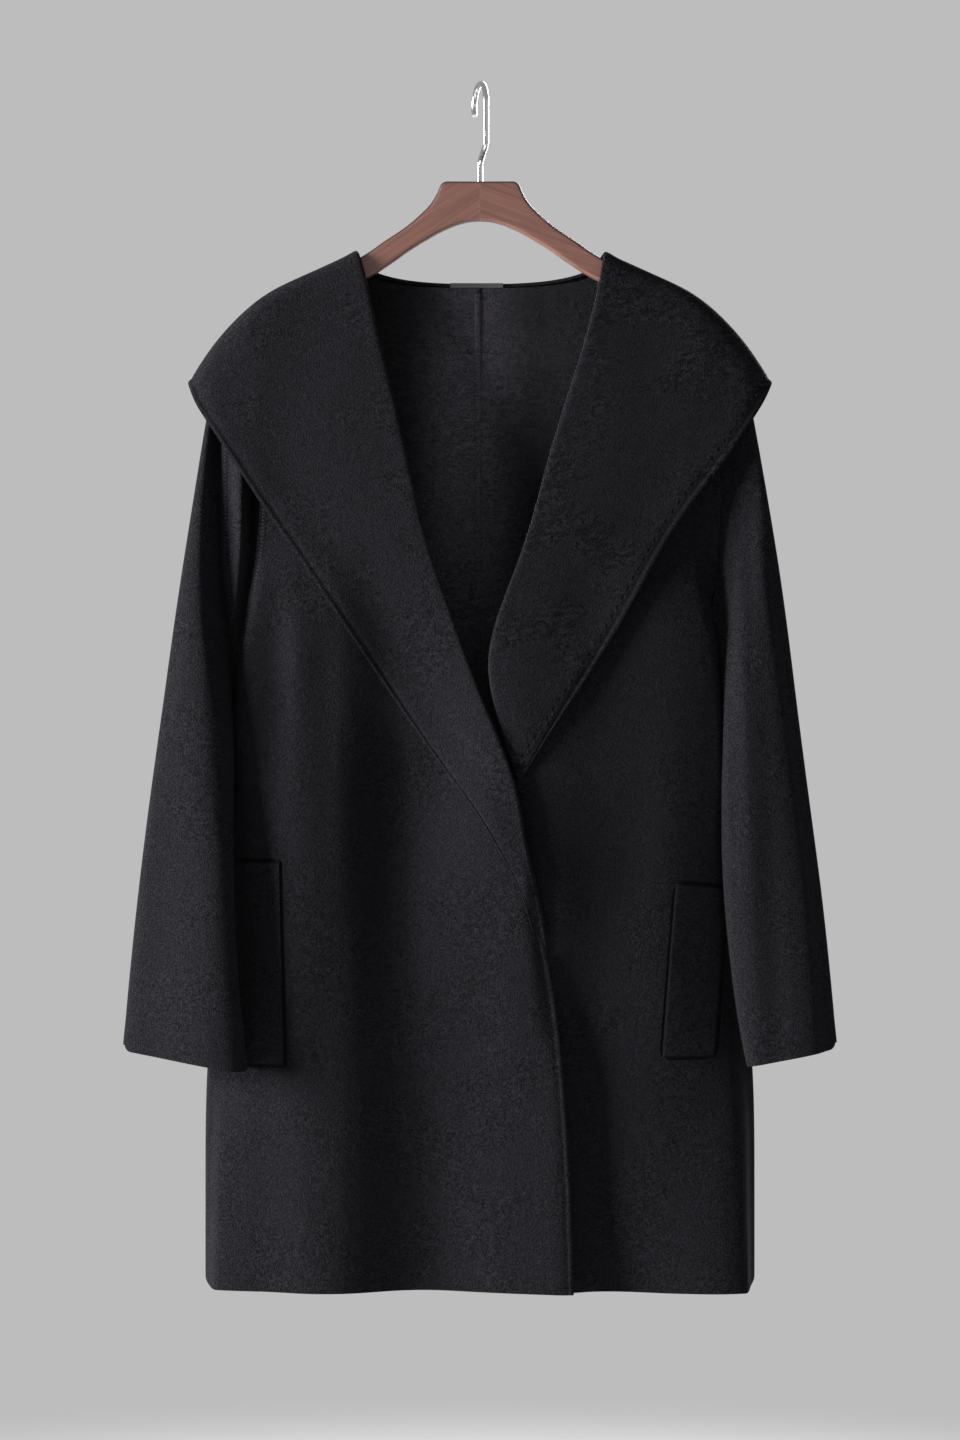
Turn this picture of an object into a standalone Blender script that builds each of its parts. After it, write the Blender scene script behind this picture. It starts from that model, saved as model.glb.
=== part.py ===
"""Wrap coat with a wide shawl collar, hung flat on a wooden hanger.

The front faces -Y, +X is right as seen from the front, +Z is up. The origin is the seat of the hook, where
it rests on what it hangs from. Left and right in the names are the wearer's. Sizes are in millimetres, and
MM turns them into metres. All cloth is a wall of one thickness. Every cloth face is worked out from one
height field, body_depth, which gives how far the coat's outer face stands from the plane of the hanger.
"""

import math
from collections import namedtuple

import bmesh
import bpy
from mathutils import Vector

MM = 0.001
CLOTH = 2.5  # thickness of the double-faced wool
SEAM = 0.3  # gap between pieces that are sewn together
AIR = 0.9  # gap between layers that only lie on each other
ROLL_INSIDE = 0.8  # radius inside the turned edge of the collar
ROLL_OUTSIDE = ROLL_INSIDE + CLOTH
ROLL_GAP = 1.1  # between a front's edge and the turned edge that takes it in
RIGHT = -1  # the wearer's right is at -X
LEFT = 1
FRONT = -1  # the front faces -Y
BACK = 1

HEM_Z = -1043.0
ARMPIT_Z = -503.0
SHOULDER_SLOPE = 0.484  # drop for each millimetre outward
NECK_POINT_X = 106.0
NECK_POINT_Z = -145.5
SHOULDER_END_X = 200.0
HANGER_END_X = 178.0
SHOULDER_DROP = 0.012  # bend of the shoulder line past the hanger's end, per mm
RIDGE_RADIUS = 9.8  # rounding of the cloth over the hanger's arm, outer face
SIDE_RADIUS = 5.5  # rounding of the cloth at the side seam, outer face
FLARE = 0.10  # how fast the cloth leaves the hanger's plane below the ridge

# Half width of the body at each height, on the wearer's right and left
Side = namedtuple("Side", "z right left")
SIDES = (
    Side(-190, 330, 330),
    Side(-300, 290, 290),
    Side(-400, 246, 244),
    Side(-450, 226, 222),
    Side(ARMPIT_Z, 211, 207),
    Side(-530, 212.4, 208.4),
    Side(-560, 214.8, 210.8),
    Side(-600, 219, 215),
    Side(-700, 226, 223),
    Side(-780, 232, 231),
    Side(-850, 237.5, 237.5),
    Side(-900, 239, 239),
    Side(HEM_Z, 239, 239),
)

# Half depth on the centre line
Depth = namedtuple("Depth", "z half")
DEPTHS = (
    Depth(-140, 15),
    Depth(-200, 19),
    Depth(-300, 28),
    Depth(-500, 40),
    Depth(-700, 48),
    Depth(-850, 52),
    Depth(HEM_Z, 56),
)

# Where each armhole runs on the front and on the back
Armhole = namedtuple("Armhole", "z right left back_right back_left")
ARMHOLES = (
    Armhole(-193, 200, 200, 200, 200),
    Armhole(-250, 196, 204, 198, 199),
    Armhole(-310, 190, 208, 197, 198),
    Armhole(-360, 190, 209, 198, 198),
    Armhole(-411, 194, 206, 201, 200),
    Armhole(-455, 203, 204, 206, 205),
    Armhole(ARMPIT_Z, 211, 207, 211, 207),
)

# Each section line of a lapel runs from its roll (turned edge) to its outer edge
Lapel = namedtuple("Lapel", "roll_x roll_z edge_x edge_z")
RIGHT_LAPEL = (
    Lapel(62.5, -762, 54.5, -767),
    Lapel(60.5, -746, 51.5, -750),
    Lapel(57, -723, 45.5, -728),
    Lapel(51.5, -700, 37.5, -705),
    Lapel(45, -675, 26, -680),
    Lapel(38.5, -648, 10.5, -652),
    Lapel(33, -611, -9, -622),
    Lapel(19, -571, -38, -585),
    Lapel(-4, -517, -76, -530),
    Lapel(-33, -432, -121, -464),
    Lapel(-51, -377, -151, -418),
    Lapel(-69, -290, -188, -366),
    Lapel(-86, -225, -220, -316),
    Lapel(-95, -180, -243, -283),
    Lapel(-105, -143.5, -254, -258),
)
LEFT_LAPEL = (
    Lapel(31, -602, 37, -599),
    Lapel(21, -574, 51, -576),
    Lapel(12, -540, 73, -543),
    Lapel(5, -504, 97, -507),
    Lapel(14, -459, 121, -468),
    Lapel(39, -400, 145, -424),
    Lapel(56, -333, 168, -384),
    Lapel(74, -275, 194, -349),
    Lapel(91, -222, 219, -316),
    Lapel(101, -181, 242.5, -281),
    Lapel(107, -143.5, 254, -258),
)
# The collar's half at the back, from the shoulder to the centre, as distances from the centre
BACK_COLLAR = (
    Lapel(103, -150, 250, -276),
    Lapel(95, -157.5, 236, -304),
    Lapel(78, -163.6, 203, -331),
    Lapel(52, -167.8, 144, -349),
    Lapel(25, -168.9, 73, -357),
    Lapel(0.15, -169.3, 0.15, -359),
)

# The back panels' upper edge under the collar's roll, as distances from the centre
Neck = namedtuple("Neck", "x z")
BACK_NECK = (
    Neck(110.4, -147.6),
    Neck(104, -158),
    Neck(94, -165.8),
    Neck(76, -170),
    Neck(50, -172.2),
    Neck(25, -173),
    Neck(0, -173.3),
)
SECTIONS_PER_ROW = 1.35
ACROSS = 8
ROLL_ANGLES = (-90, -45, 0, 45, 90)
COLLAR_LOFT = 2.5  # how far the middle of the collar stands off
OVER_SLEEVE = 4.5  # how much further it stands off over the sleeve head

# The collar's upper outline over the shoulder, as distances from the centre
Crest = namedtuple("Crest", "x z")
CRESTS = (
    Crest(60, -120.5),
    Crest(106, -142.5),
    Crest(150, -162.5),
    Crest(186, -179.5),
    Crest(211.5, -200.5),
    Crest(233, -224.5),
    Crest(247, -243),
    Crest(256, -262),
)

# The free edge of the right front below its lapel, and the hidden edge of the left front
Edge = namedtuple("Edge", "z x")
RIGHT_FRONT_EDGE = (Edge(-780, 64), Edge(-832, 69.5), Edge(-890, 74.5), Edge(-979, 79), Edge(HEM_Z, 80.5))
LEFT_FRONT_EDGE = (Edge(-625, 20), Edge(-660, -2), Edge(-720, -25), Edge(-820, -45), Edge(HEM_Z, -58))

# How far the right front is lifted by what lies under it
Lift = namedtuple("Lift", "z height")
LIFTS = (Lift(-440, 0), Lift(-520, 1.5), Lift(-570, 6.5), Lift(-640, 7.5), Lift(-700, 5), Lift(-800, 3.6))

# Long soft folds: a ridge stands out and a trough sinks in, along a line from top to foot
Fold = namedtuple("Fold", "side top_x top_z foot_x width_top width_foot height")
FOLDS = (
    Fold(FRONT, -96, -500, -72, 18, 34, -11),
    Fold(FRONT, -150, -560, -152, 18, 30, 4),
    Fold(FRONT, -10, -640, 22, 24, 40, 5),
    Fold(FRONT, 72, -620, 104, 14, 22, -7),
    Fold(FRONT, 150, -600, 166, 22, 30, 5),
    Fold(BACK, 92, -430, 104, 22, 36, -9),
    Fold(BACK, 24, -480, 34, 24, 38, 5),
    Fold(BACK, -62, -410, -84, 20, 34, -10),
    Fold(BACK, -150, -470, -158, 20, 32, 4),
    Fold(BACK, 168, -520, 170, 18, 28, 4),
)
FOLD_FADE = 160.0  # a fold grows to its height over this length

# Each ring of a sleeve runs between its outer and inner fold
Ring = namedtuple("Ring", "outer_x outer_z inner_x inner_z half_thick forward")
RIGHT_RINGS = (
    Ring(-201, -197, -211.5, -503.5, 14, 0),
    Ring(-212, -211, -212.2, -509, 13.5, 0),
    Ring(-223, -232, -212.8, -517, 13, 1),
    Ring(-232, -260, -213.2, -530, 13, 3),
    Ring(-238, -292, -214, -548, 13.5, 7),
    Ring(-249, -365, -214, -590, 14, 14),
    Ring(-262, -450, -213, -640, 14.5, 18),
    Ring(-273, -533, -211, -690, 14.5, 22),
    Ring(-285, -620, -209, -740, 14, 25),
    Ring(-295, -704, -206, -786, 14, 28),
    Ring(-303, -784, -202, -828, 14, 30),
    Ring(-307, -834.5, -200, -852, 14, 32),
)
LEFT_RINGS = (
    Ring(201, -197, 207.5, -503.5, 14, 0),
    Ring(212, -211, 208.2, -509, 13.5, 0),
    Ring(223, -232, 208.8, -517, 13, 1),
    Ring(232, -260, 209.2, -530, 13, 3),
    Ring(238, -292, 210, -548, 13.5, 7),
    Ring(248, -352, 210, -590, 14, 14),
    Ring(262, -440, 208, -640, 14.5, 18),
    Ring(273, -533, 209, -690, 14.5, 22),
    Ring(284, -620, 213, -740, 14, 25),
    Ring(295, -704, 219, -792, 14, 28),
    Ring(303, -784, 225, -828, 14, 30),
    Ring(307, -832.5, 229, -848, 14, 32),
)
SLEEVE_ROWS = 18
SEAM_FADE = 3.5  # rings over which a sleeve leaves the armhole's shape
Crease = namedtuple("Crease", "x top_z foot_z width depth")
CREASES = (Crease(-223, -300, -560, 9, 5), Crease(232, -330, -520, 8, 3))

# Pocket welts: the inner upper corner, the slant of the long edges and the size
Welt = namedtuple("Welt", "side top_x top_z foot_x foot_z top_rise width")
WELTS = (
    Welt(RIGHT, -172, -672, -168, -848, 0, -44),
    Welt(LEFT, 169, -690, 157, -841, -5, 46),
)

LABEL_LOW_X = -26.0
LABEL_HIGH_X = 20.0
LABEL_TOP_Z = -169.2
LABEL_TALL = 4.0
LABEL_THICK = 1.0

WOOL_COLOUR = (0.016, 0.015, 0.019)
LABEL_COLOUR = (0.06, 0.06, 0.062)
WOOD_COLOUR = (0.23, 0.12, 0.10)
CHROME_COLOUR = (0.8, 0.8, 0.82)

HANGER_HALF_THICK = 5.8
HANGER_GAP = 0.15  # half the glue line between the two halves
HANGER_EDGE = 3.6  # rounding of the wood's edges
HangerPoint = namedtuple("HangerPoint", "x z")
HANGER_OUTLINE = (
    HangerPoint(HANGER_GAP, -82.7),
    HangerPoint(29, -82.7),
    HangerPoint(33.5, -85),
    HangerPoint(38, -95),
    HangerPoint(48.7, -108.5),
    HangerPoint(63.5, -121.5),
    HangerPoint(82, -134),
    HangerPoint(103.5, -148.4),
    HangerPoint(170, -180.6),
    HangerPoint(177, -186),
    HangerPoint(179, -193),
    HangerPoint(176, -200),
    HangerPoint(168, -200.5),
    HangerPoint(98, -166.5),
    HangerPoint(80, -155.7),
    HangerPoint(63, -143.5),
    HangerPoint(42, -130.5),
    HangerPoint(22, -120.8),
    HangerPoint(HANGER_GAP, -116.6),
)

HOOK_WIRE = 2.5  # radius of the hook's wire
HOOK_INSIDE = 15.0  # radius inside the hook's bend
HOOK_TURN = math.radians(17)  # how far the hook is turned out of the coat's middle plane
HOOK_FOOT_Z = -82.4
HOOK_JOG_LOW_Z = -68.0
HOOK_JOG_HIGH_Z = -50.0
HOOK_END_ANGLE = math.radians(205)


def clamp(value, low=0.0, high=1.0):
    return max(low, min(high, value))


def ease(value):
    value = clamp(value)
    return value * value * (3 - 2 * value)


def along(rows, key, column, at):
    """The column's value at a place along the key column, on a smooth line through the table's rows."""
    keys = [getattr(row, key) for row in rows]
    values = [getattr(row, column) for row in rows]
    if keys[0] > keys[-1]:
        keys.reverse()
        values.reverse()
    if at <= keys[0]:
        return values[0]
    if at >= keys[-1]:
        return values[-1]
    i = max(k for k in range(len(keys) - 1) if keys[k] <= at)
    return hermite(keys, values, i, (at - keys[i]) / (keys[i + 1] - keys[i]))


def hermite(keys, values, i, t):
    """Between entries i and i + 1, with slopes that never overshoot."""
    steps = [(values[k + 1] - values[k]) / (keys[k + 1] - keys[k]) for k in range(len(keys) - 1)]
    gap = keys[i + 1] - keys[i]
    start = knot_slope(steps, i) * gap
    end = knot_slope(steps, i + 1) * gap
    a, b = values[i], values[i + 1]
    return (
        a * (2 * t**3 - 3 * t**2 + 1) + b * (3 * t**2 - 2 * t**3)
        + start * (t**3 - 2 * t**2 + t) + end * (t**3 - t**2)
    )


def knot_slope(steps, k):
    if k == 0:
        return steps[0]
    if k == len(steps):
        return steps[-1]
    if steps[k - 1] * steps[k] <= 0:
        return 0.0
    return 2 * steps[k - 1] * steps[k] / (steps[k - 1] + steps[k])


def at_row(rows, column, place):
    """The column's value at a fractional row number, on a Catmull-Rom line through the rows."""
    place = clamp(place, 0, len(rows) - 1)
    i = min(int(place), len(rows) - 2)
    t = place - i
    last = len(rows) - 1
    a, b, c, d = (getattr(rows[clamp(k, 0, last)], column) for k in (i - 1, i, i + 1, i + 2))
    return 0.5 * (
        2 * b + (c - a) * t + (2 * a - 5 * b + 4 * c - d) * t**2 + (3 * b - a - 3 * c + d) * t**3
    )


def rounding(distance, radius):
    """0 at an edge and 1 from one radius in, as a quarter circle."""
    share = clamp(distance / radius)
    return math.sqrt(max(0.0, 1 - (1 - share) ** 2))


def half_width(x, z):
    return along(SIDES, "z", "right" if x < 0 else "left", z)


def ridge_z(x):
    """Height of the coat's outer face along the shoulder line, which drops past the hanger's end."""
    past = max(0.0, abs(x) - HANGER_END_X)
    return NECK_POINT_Z - SHOULDER_SLOPE * (abs(x) - NECK_POINT_X) - SHOULDER_DROP * past**2


def below_ridge(x, z):
    return (ridge_z(x) - z) / math.hypot(1, SHOULDER_SLOPE)


def fold_height(side, x, z):
    total = 0.0
    for fold in FOLDS:
        if fold.side != side:
            continue
        share = clamp((fold.top_z - z) / (fold.top_z - HEM_Z), 0, 1)
        middle = fold.top_x + (fold.foot_x - fold.top_x) * share
        width = fold.width_top + (fold.width_foot - fold.width_top) * share
        grown = ease((fold.top_z - z) / FOLD_FADE) * (0.55 + 0.45 * share)
        total += fold.height * grown * math.exp(-(((x - middle) / width) ** 2))
    return total


def lens_width(x, z):
    """Half width of the body's cross-section, evened out so that the armpit leaves no crease."""
    return sum(half_width(x, z + step) for step in (-70, -35, 0, 35, 70)) / 5


def cloth_depth(side, x, z):
    """How far the outer face stands from the hanger's plane, away from the ridge and the side."""
    width = half_width(x, z)
    across = clamp(abs(x) / lens_width(x, z))
    middle = along(DEPTHS, "z", "half", z)
    lens = SIDE_RADIUS + (middle - SIDE_RADIUS) * (1 - across**2) ** 1.1
    lens += fold_height(side, x, z) * ease((width - abs(x)) / 40)
    hung = RIDGE_RADIUS + FLARE * max(0.0, below_ridge(x, z) - RIDGE_RADIUS)
    return (lens**-6 + hung**-6) ** (-1 / 6)


def body_depth(side, x, z):
    depth = cloth_depth(side, x, z) * rounding(below_ridge(x, z), RIDGE_RADIUS)
    closing = ease((ARMPIT_Z + 6 - z) / 6)
    if closing:
        depth *= 1 - closing * (1 - rounding(half_width(x, z) - abs(x), SIDE_RADIUS))
    return depth


def hidden_edge(z):
    """The left front's edge under the right front."""
    if z > LEFT_FRONT_EDGE[0].z:
        return 5 + 28 * ease((-504 - z) / 100)
    return along(LEFT_FRONT_EDGE, "z", "x", z)


def lift(x, z):
    """How far the right front's outer face stands off the body's."""
    height = along(LIFTS, "z", "height", z)
    return height * ease((x - hidden_edge(z) + 62) / 54)


def face_depth(panel, x, z):
    """Depth of the outer face of one of the layers: back, left front or right front."""
    if panel == "back":
        return body_depth(BACK, x, z)
    depth = body_depth(FRONT, x, z)
    return depth + lift(x, z) if panel == "right" else depth


def face_point(panel, x, z):
    side = BACK if panel == "back" else FRONT
    return Vector((x, side * max(face_depth(panel, x, z), SEAM / 2), z))


def build(name, vertices, faces, material):
    mesh = bpy.data.meshes.new(name)
    mesh.from_pydata([v * MM for v in vertices], [], faces)
    form = bmesh.new()
    form.from_mesh(mesh)
    bmesh.ops.recalc_face_normals(form, faces=form.faces)
    form.to_mesh(mesh)
    form.free()
    mesh.shade_smooth()
    mesh.set_sharp_from_angle(angle=math.radians(50))
    piece = bpy.data.objects.new(name, mesh)
    piece.data.materials.append(material)
    bpy.context.scene.collection.objects.link(piece)
    return piece


def normals(grid, closed):
    """The normal at each point of a grid of rows, away from the hanger's plane or out of the tube."""
    rows, columns = len(grid), len(grid[0])
    found = []
    facing = 0.0
    for i in range(rows):
        line = []
        middle = sum(grid[i], Vector()) / columns
        for j in range(columns):
            before = (j - 1) % columns if closed else max(j - 1, 0)
            after = (j + 1) % columns if closed else min(j + 1, columns - 1)
            across = grid[i][after] - grid[i][before]
            down = grid[min(i + 1, rows - 1)][j] - grid[max(i - 1, 0)][j]
            normal = across.cross(down).normalized()
            away = grid[i][j] - middle if closed else Vector((0, grid[i][j].y, 0))
            facing += normal.dot(away)
            line.append(normal)
        found.append(line)
    if facing < 0:
        found = [[-normal for normal in line] for line in found]
    return found


def wall(name, outer, inner, material):
    """A closed solid between two grids of the same size."""
    rows, columns = len(outer), len(outer[0])
    vertices = [p for row in outer for p in row] + [p for row in inner for p in row]
    under = rows * columns
    faces = []
    for i in range(rows - 1):
        for j in range(columns - 1):
            near, far = i * columns + j, (i + 1) * columns + j
            quad = [near, near + 1, far + 1, far]
            faces.append(quad)
            faces.append([v + under for v in reversed(quad)])
    for i in (0, rows - 1):
        for j in range(columns - 1):
            a, b = i * columns + j, i * columns + j + 1
            faces.append([a, b, b + under, a + under])
    for j in (0, columns - 1):
        for i in range(rows - 1):
            a, b = i * columns + j, (i + 1) * columns + j
            faces.append([a, b, b + under, a + under])
    return build(name, vertices, faces, material)


def sheet(name, outer, material, side=None):
    """A wall made from its outer face. With a side, no point crosses the seam's plane at y = 0."""
    inner = []
    for row, line in zip(outer, normals(outer, False)):
        if side:
            line = [flat(normal) if abs(point.y) < SEAM else normal for point, normal in zip(row, line)]
        inner.append([point - normal * CLOTH for point, normal in zip(row, line)])
    if side:
        for row in inner:
            for point in row:
                point.y = side * max(side * point.y, SEAM / 2)
    return wall(name, outer, inner, material)


def flat(normal):
    """The normal of a face that meets its mirror image at y = 0."""
    return Vector((normal.x, 0, normal.z)).normalized()


# The rows of a panel down its armhole and the points round half a sleeve share these angles, so that
# the two meet point to point. They are closest where the cloth rounds over the shoulder and at the armpit.
HALF_TURN = (0, 6, 11, 17, 29, 45, 62, 78, 94, 110, 126, 142, 158, 169, 180)
BODY_ROWS = 11
RIDGE_ROWS_DROP = 8.0  # the rows this close to the shoulder line run along it
SIDE_SHARES = (0, 0.005, 0.014, 0.03)  # close columns round the side seam


def shoulder_top():
    return ridge_z(SHOULDER_END_X)


def row_heights():
    """Heights of a panel's rows at its armhole and side seam."""
    top = shoulder_top()
    heights = [top - (top - ARMPIT_Z) * (1 - math.cos(math.radians(a))) / 2 for a in HALF_TURN]
    step = (ARMPIT_Z - HEM_Z) / BODY_ROWS
    return heights + [ARMPIT_Z - step * (k + 1) for k in range(BODY_ROWS)]


def armhole_x(column, z):
    return along(ARMHOLES, "z", column, z)


def outer_edge(side, column, z):
    """Where a panel ends at the armhole or the side seam."""
    x = armhole_x(column, z) if z >= ARMPIT_Z else half_width(side, z)
    return side * x


def lapel_places(lapel):
    """Row numbers of the section lines down a lapel, closer together at the shoulder."""
    last = len(lapel) - 1
    count = round(SECTIONS_PER_ROW * (last - 1))
    rows = [(last - 1) * k / count for k in range(count + 1)]
    return rows + [last - drop for drop in (0.7, 0.45, 0.27, 0.15, 0.08, 0.03, 0.008, 0)]


def roll_x(lapel, z):
    """Where the collar's turned edge runs, straight from one section line to the next."""
    points = [(at_row(lapel, "roll_z", p), at_row(lapel, "roll_x", p)) for p in lapel_places(lapel)]
    z = clamp(z, points[0][0], points[-1][0])
    for (low, start), (high, end) in zip(points, points[1:]):
        if z <= high:
            return start + (end - start) * (z - low) / (high - low)
    return points[-1][1]


def held_back(lapel, z):
    """How far a front's edge lies inside the turned edge of its collar."""
    step = 2.0
    slope = (roll_x(lapel, z + step) - roll_x(lapel, z - step)) / (2 * step)
    return (ROLL_OUTSIDE + ROLL_GAP) * math.hypot(1, slope)


def front_edge(side, lapel, free, z):
    """A front's inner edge: along the collar's roll, and below it along the free edge's table."""
    foot_z = lapel[0].roll_z
    rolled = roll_x(lapel, z) + side * held_back(lapel, max(z, foot_z + 3))
    if z >= foot_z:
        return rolled
    return rolled + (along(free, "z", "x", z) - rolled) * ease((foot_z - z) / 24)


def front_grid(side, panel, column, lapel, free):
    """Rows from the shoulder to the hem, columns from the armhole and side seam to the front edge."""
    top = shoulder_top()
    neck_x = side * (NECK_POINT_X + ROLL_OUTSIDE + ROLL_GAP)
    columns = [s for s in SIDE_SHARES] + [0.03 + 0.97 * (k + 1) / 10 for k in range(10)]
    grid = []
    for z_out in row_heights():
        fallen = top - z_out
        neck_top = ridge_z(neck_x)
        z_in = neck_top - fallen * (neck_top - ARMPIT_Z) / (top - ARMPIT_Z)
        if z_out < ARMPIT_Z:
            z_in = z_out
        x_out = outer_edge(side, column, z_out)
        x_in = front_edge(side, lapel, free, z_in)
        row = []
        for share in columns:
            x = x_out + (x_in - x_out) * share
            z = z_out + (z_in - z_out) * share
            if fallen < RIDGE_ROWS_DROP:
                z = ridge_z(x) - fallen
            row.append(face_point(panel, x, z))
        grid.append(row)
    return grid


def back_grid(side):
    """Rows from the shoulder and neck to the hem, columns from the armhole and side seam to the centre."""
    top = shoulder_top()
    shares = SIDE_SHARES + (0.13, 0.25, 0.36, 0.448, 0.456, 0.464, 0.474, 0.49, 0.53, 0.62, 0.74, 0.87, 1)
    grid = []
    for z_out in row_heights():
        x_out = outer_edge(side, "back_right" if side == RIGHT else "back_left", z_out)
        row = []
        for share in shares:
            x = x_out + (side * SEAM / 2 - x_out) * share
            edge = back_top(SHOULDER_END_X * (1 - share) + SEAM / 2 * share)
            z = edge - (top - z_out) * (edge - HEM_Z) / (top - HEM_Z)
            row.append(face_point("back", x, z))
        grid.append(row)
    return grid


def back_top(x):
    """Height of the back panels' upper edge: the shoulder line, and the neck under the collar's roll."""
    if x > BACK_NECK[0].x:
        return ridge_z(x)
    return along(BACK_NECK, "x", "z", x)


def crest_z(x):
    return along(CRESTS, "x", "z", abs(x))


def collar_depth(panel, x, z):
    """Depth of the collar's visible face: over the body, and over the sleeve head beyond it."""
    base = cloth_depth(BACK if panel == "back" else FRONT, x, z)
    if panel == "right":
        base += lift(x, z)
    over = AIR + CLOTH + OVER_SLEEVE * ease((abs(x) - 150) / 60)
    slope = (crest_z(abs(x) + 2) - crest_z(abs(x) - 2)) / 4
    below = (crest_z(x) - z) / math.hypot(1, slope)
    return (base + over) * rounding(below, RIDGE_RADIUS + over)


def collar_sections(side, lapel):
    """One (values, layer, bow) for each section line of the collar, from the lapel's foot to the back."""
    last = len(lapel) - 1
    layer = "right" if side == RIGHT else "left"
    sections = []
    for place in lapel_places(lapel):
        values = [at_row(lapel, column, place) for column in Lapel._fields]
        sections.append((values, layer, ease(1 - (last - place) / 2.5)))
    shoulder = lapel[-1]
    behind = (Lapel(abs(shoulder.roll_x), shoulder.roll_z, abs(shoulder.edge_x), shoulder.edge_z),)
    behind += BACK_COLLAR
    for place in (0.03, 0.1, 0.22, 0.4, 0.65, 1, 1.4, 1.9, 2.5, 3.1, 3.8, 4.6, 5.3, 6):
        values = [at_row(behind, column, place) for column in Lapel._fields]
        values[0] *= side
        values[2] *= side
        sections.append((values, "back", ease(1 - place / 2)))
    return sections


def roll_frames(sections):
    """For each section: the point where the roll begins, the way along the cloth and the way out of it."""
    points = []
    ways = []
    for (x, z, edge_x, edge_z), layer, _ in sections:
        length = math.hypot(edge_x - x, edge_z - z)
        reach = min(ROLL_OUTSIDE, 0.45 * length)
        near = reach / length
        far = min(1.0, near + 6 / length)
        start, end = (
            face_point(layer, x + (edge_x - x) * s, min(z + (edge_z - z) * s, ridge_z(x + (edge_x - x) * s)))
            for s in (near, far)
        )
        points.append(start)
        ways.append((end - start).normalized())
    frames = []
    for i, (point, way) in enumerate(zip(points, ways)):
        run = points[min(i + 1, len(points) - 1)] - points[max(i - 1, 0)]
        out = run.cross(way).normalized()
        frames.append((point, way, out))
    return frames


def make_collar(name, side, lapel, material):
    """Rows along the roll, columns round the turned edge and then across the collar to its outer edge."""
    sections = collar_sections(side, lapel)
    grid = []
    turned = []
    for (values, layer, bow), (start, way, out) in zip(sections, roll_frames(sections)):
        x, z, edge_x, edge_z = values
        if out.dot(Vector((0, BACK if layer == "back" else FRONT, 0.6))) < 0:
            out = -out
        centre = start + out * ROLL_INSIDE
        turns = [math.radians(angle) for angle in ROLL_ANGLES]
        turned.append([out * math.sin(turn) - way * math.cos(turn) for turn in turns])
        row = [centre + normal * ROLL_OUTSIDE for normal in turned[-1]]
        length = math.hypot(edge_x - x, edge_z - z)
        near = min(ROLL_OUTSIDE, 0.45 * length) / length
        for k in range(1, ACROSS + 1):
            share = near + (1 - near) * (k / ACROSS) ** 1.25
            across_x = x + (edge_x - x) * share
            across_z = z + (edge_z - z) * share
            top_x = lapel[-1].roll_x + (lapel[-1].edge_x - lapel[-1].roll_x) * share
            top_z = lapel[-1].roll_z + (lapel[-1].edge_z - lapel[-1].roll_z) * share
            across_z += bow * (crest_z(top_x) - top_z)
            across_z = min(across_z, crest_z(across_x))
            depth = collar_depth(layer, across_x, across_z)
            loft = COLLAR_LOFT * math.sin(math.pi * share) * ease(length / 120) * (1 - bow)
            sign = BACK if layer == "back" else FRONT
            row.append(Vector((across_x, sign * (depth + loft), across_z)))
        grid.append(row)
    inner = []
    for row, exact, line in zip(grid, turned, normals(grid, False)):
        line = exact + line[len(exact):]
        inner.append([point - normal * CLOTH for point, normal in zip(row, line)])
    return wall(name, grid, inner, material)


def ring_point(ring, angle):
    """A point of a flattened ring: 0 is its outer fold, 180 its inner one, and the front comes first."""
    turn = math.radians(angle)
    middle = Vector(((ring.outer_x + ring.inner_x) / 2, -ring.forward, (ring.outer_z + ring.inner_z) / 2))
    half = Vector(((ring.outer_x - ring.inner_x) / 2, 0, (ring.outer_z - ring.inner_z) / 2))
    thick = math.copysign(abs(math.sin(turn)) ** 0.85, math.sin(turn)) * ring.half_thick
    return middle + half * math.cos(turn) - Vector((0, thick, 0))


def armhole_column(side, angle):
    hand = "right" if side == RIGHT else "left"
    return hand if angle <= 180 else "back_" + hand


def beside_armhole(side, angle, point, gap):
    """The point's x, kept outside the armhole of the panel beside it."""
    if point.z < ARMPIT_Z:
        return point.x
    return side * max(side * point.x, armhole_x(armhole_column(side, angle), point.z) + gap)


def armhole_point(side, angle):
    """The armhole seam at the sleeve's side: down the front, and back up behind."""
    front = angle <= 180
    turn = math.radians(angle)
    top = shoulder_top()
    z = top - (top - ARMPIT_Z) * (1 - math.cos(turn)) / 2
    column = armhole_column(side, angle)
    point = face_point(column if front else "back", side * armhole_x(column, z), z)
    return point + Vector((side * SEAM, 0, 0))


def sleeve_grid(side, rings, angles):
    grid = []
    for k in range(SLEEVE_ROWS + 1):
        place = (len(rings) - 1) * (k / SLEEVE_ROWS) ** 1.1
        ring = Ring(*(at_row(rings, column, place) for column in Ring._fields))
        seam_share = ease(1 - place / SEAM_FADE)
        row = []
        for angle in angles:
            point = ring_point(ring, angle)
            seam = armhole_point(side, angle) - ring_point(rings[0], angle)
            point += seam * seam_share
            if k:
                point.x = beside_armhole(side, angle, point, SEAM + 0.5)
            if angle < 180:
                point.y += sleeve_crease(side, point)
            row.append(point)
        grid.append(row)
    return grid


def sleeve_crease(side, point):
    """The upright crease in the sleeve's front beside the armhole."""
    crease = CREASES[0] if side == RIGHT else CREASES[1]
    window = ease((crease.top_z - point.z) / 50) * ease((point.z - crease.foot_z) / 90)
    return crease.depth * window * math.exp(-(((point.x - crease.x) / crease.width) ** 2))


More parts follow.
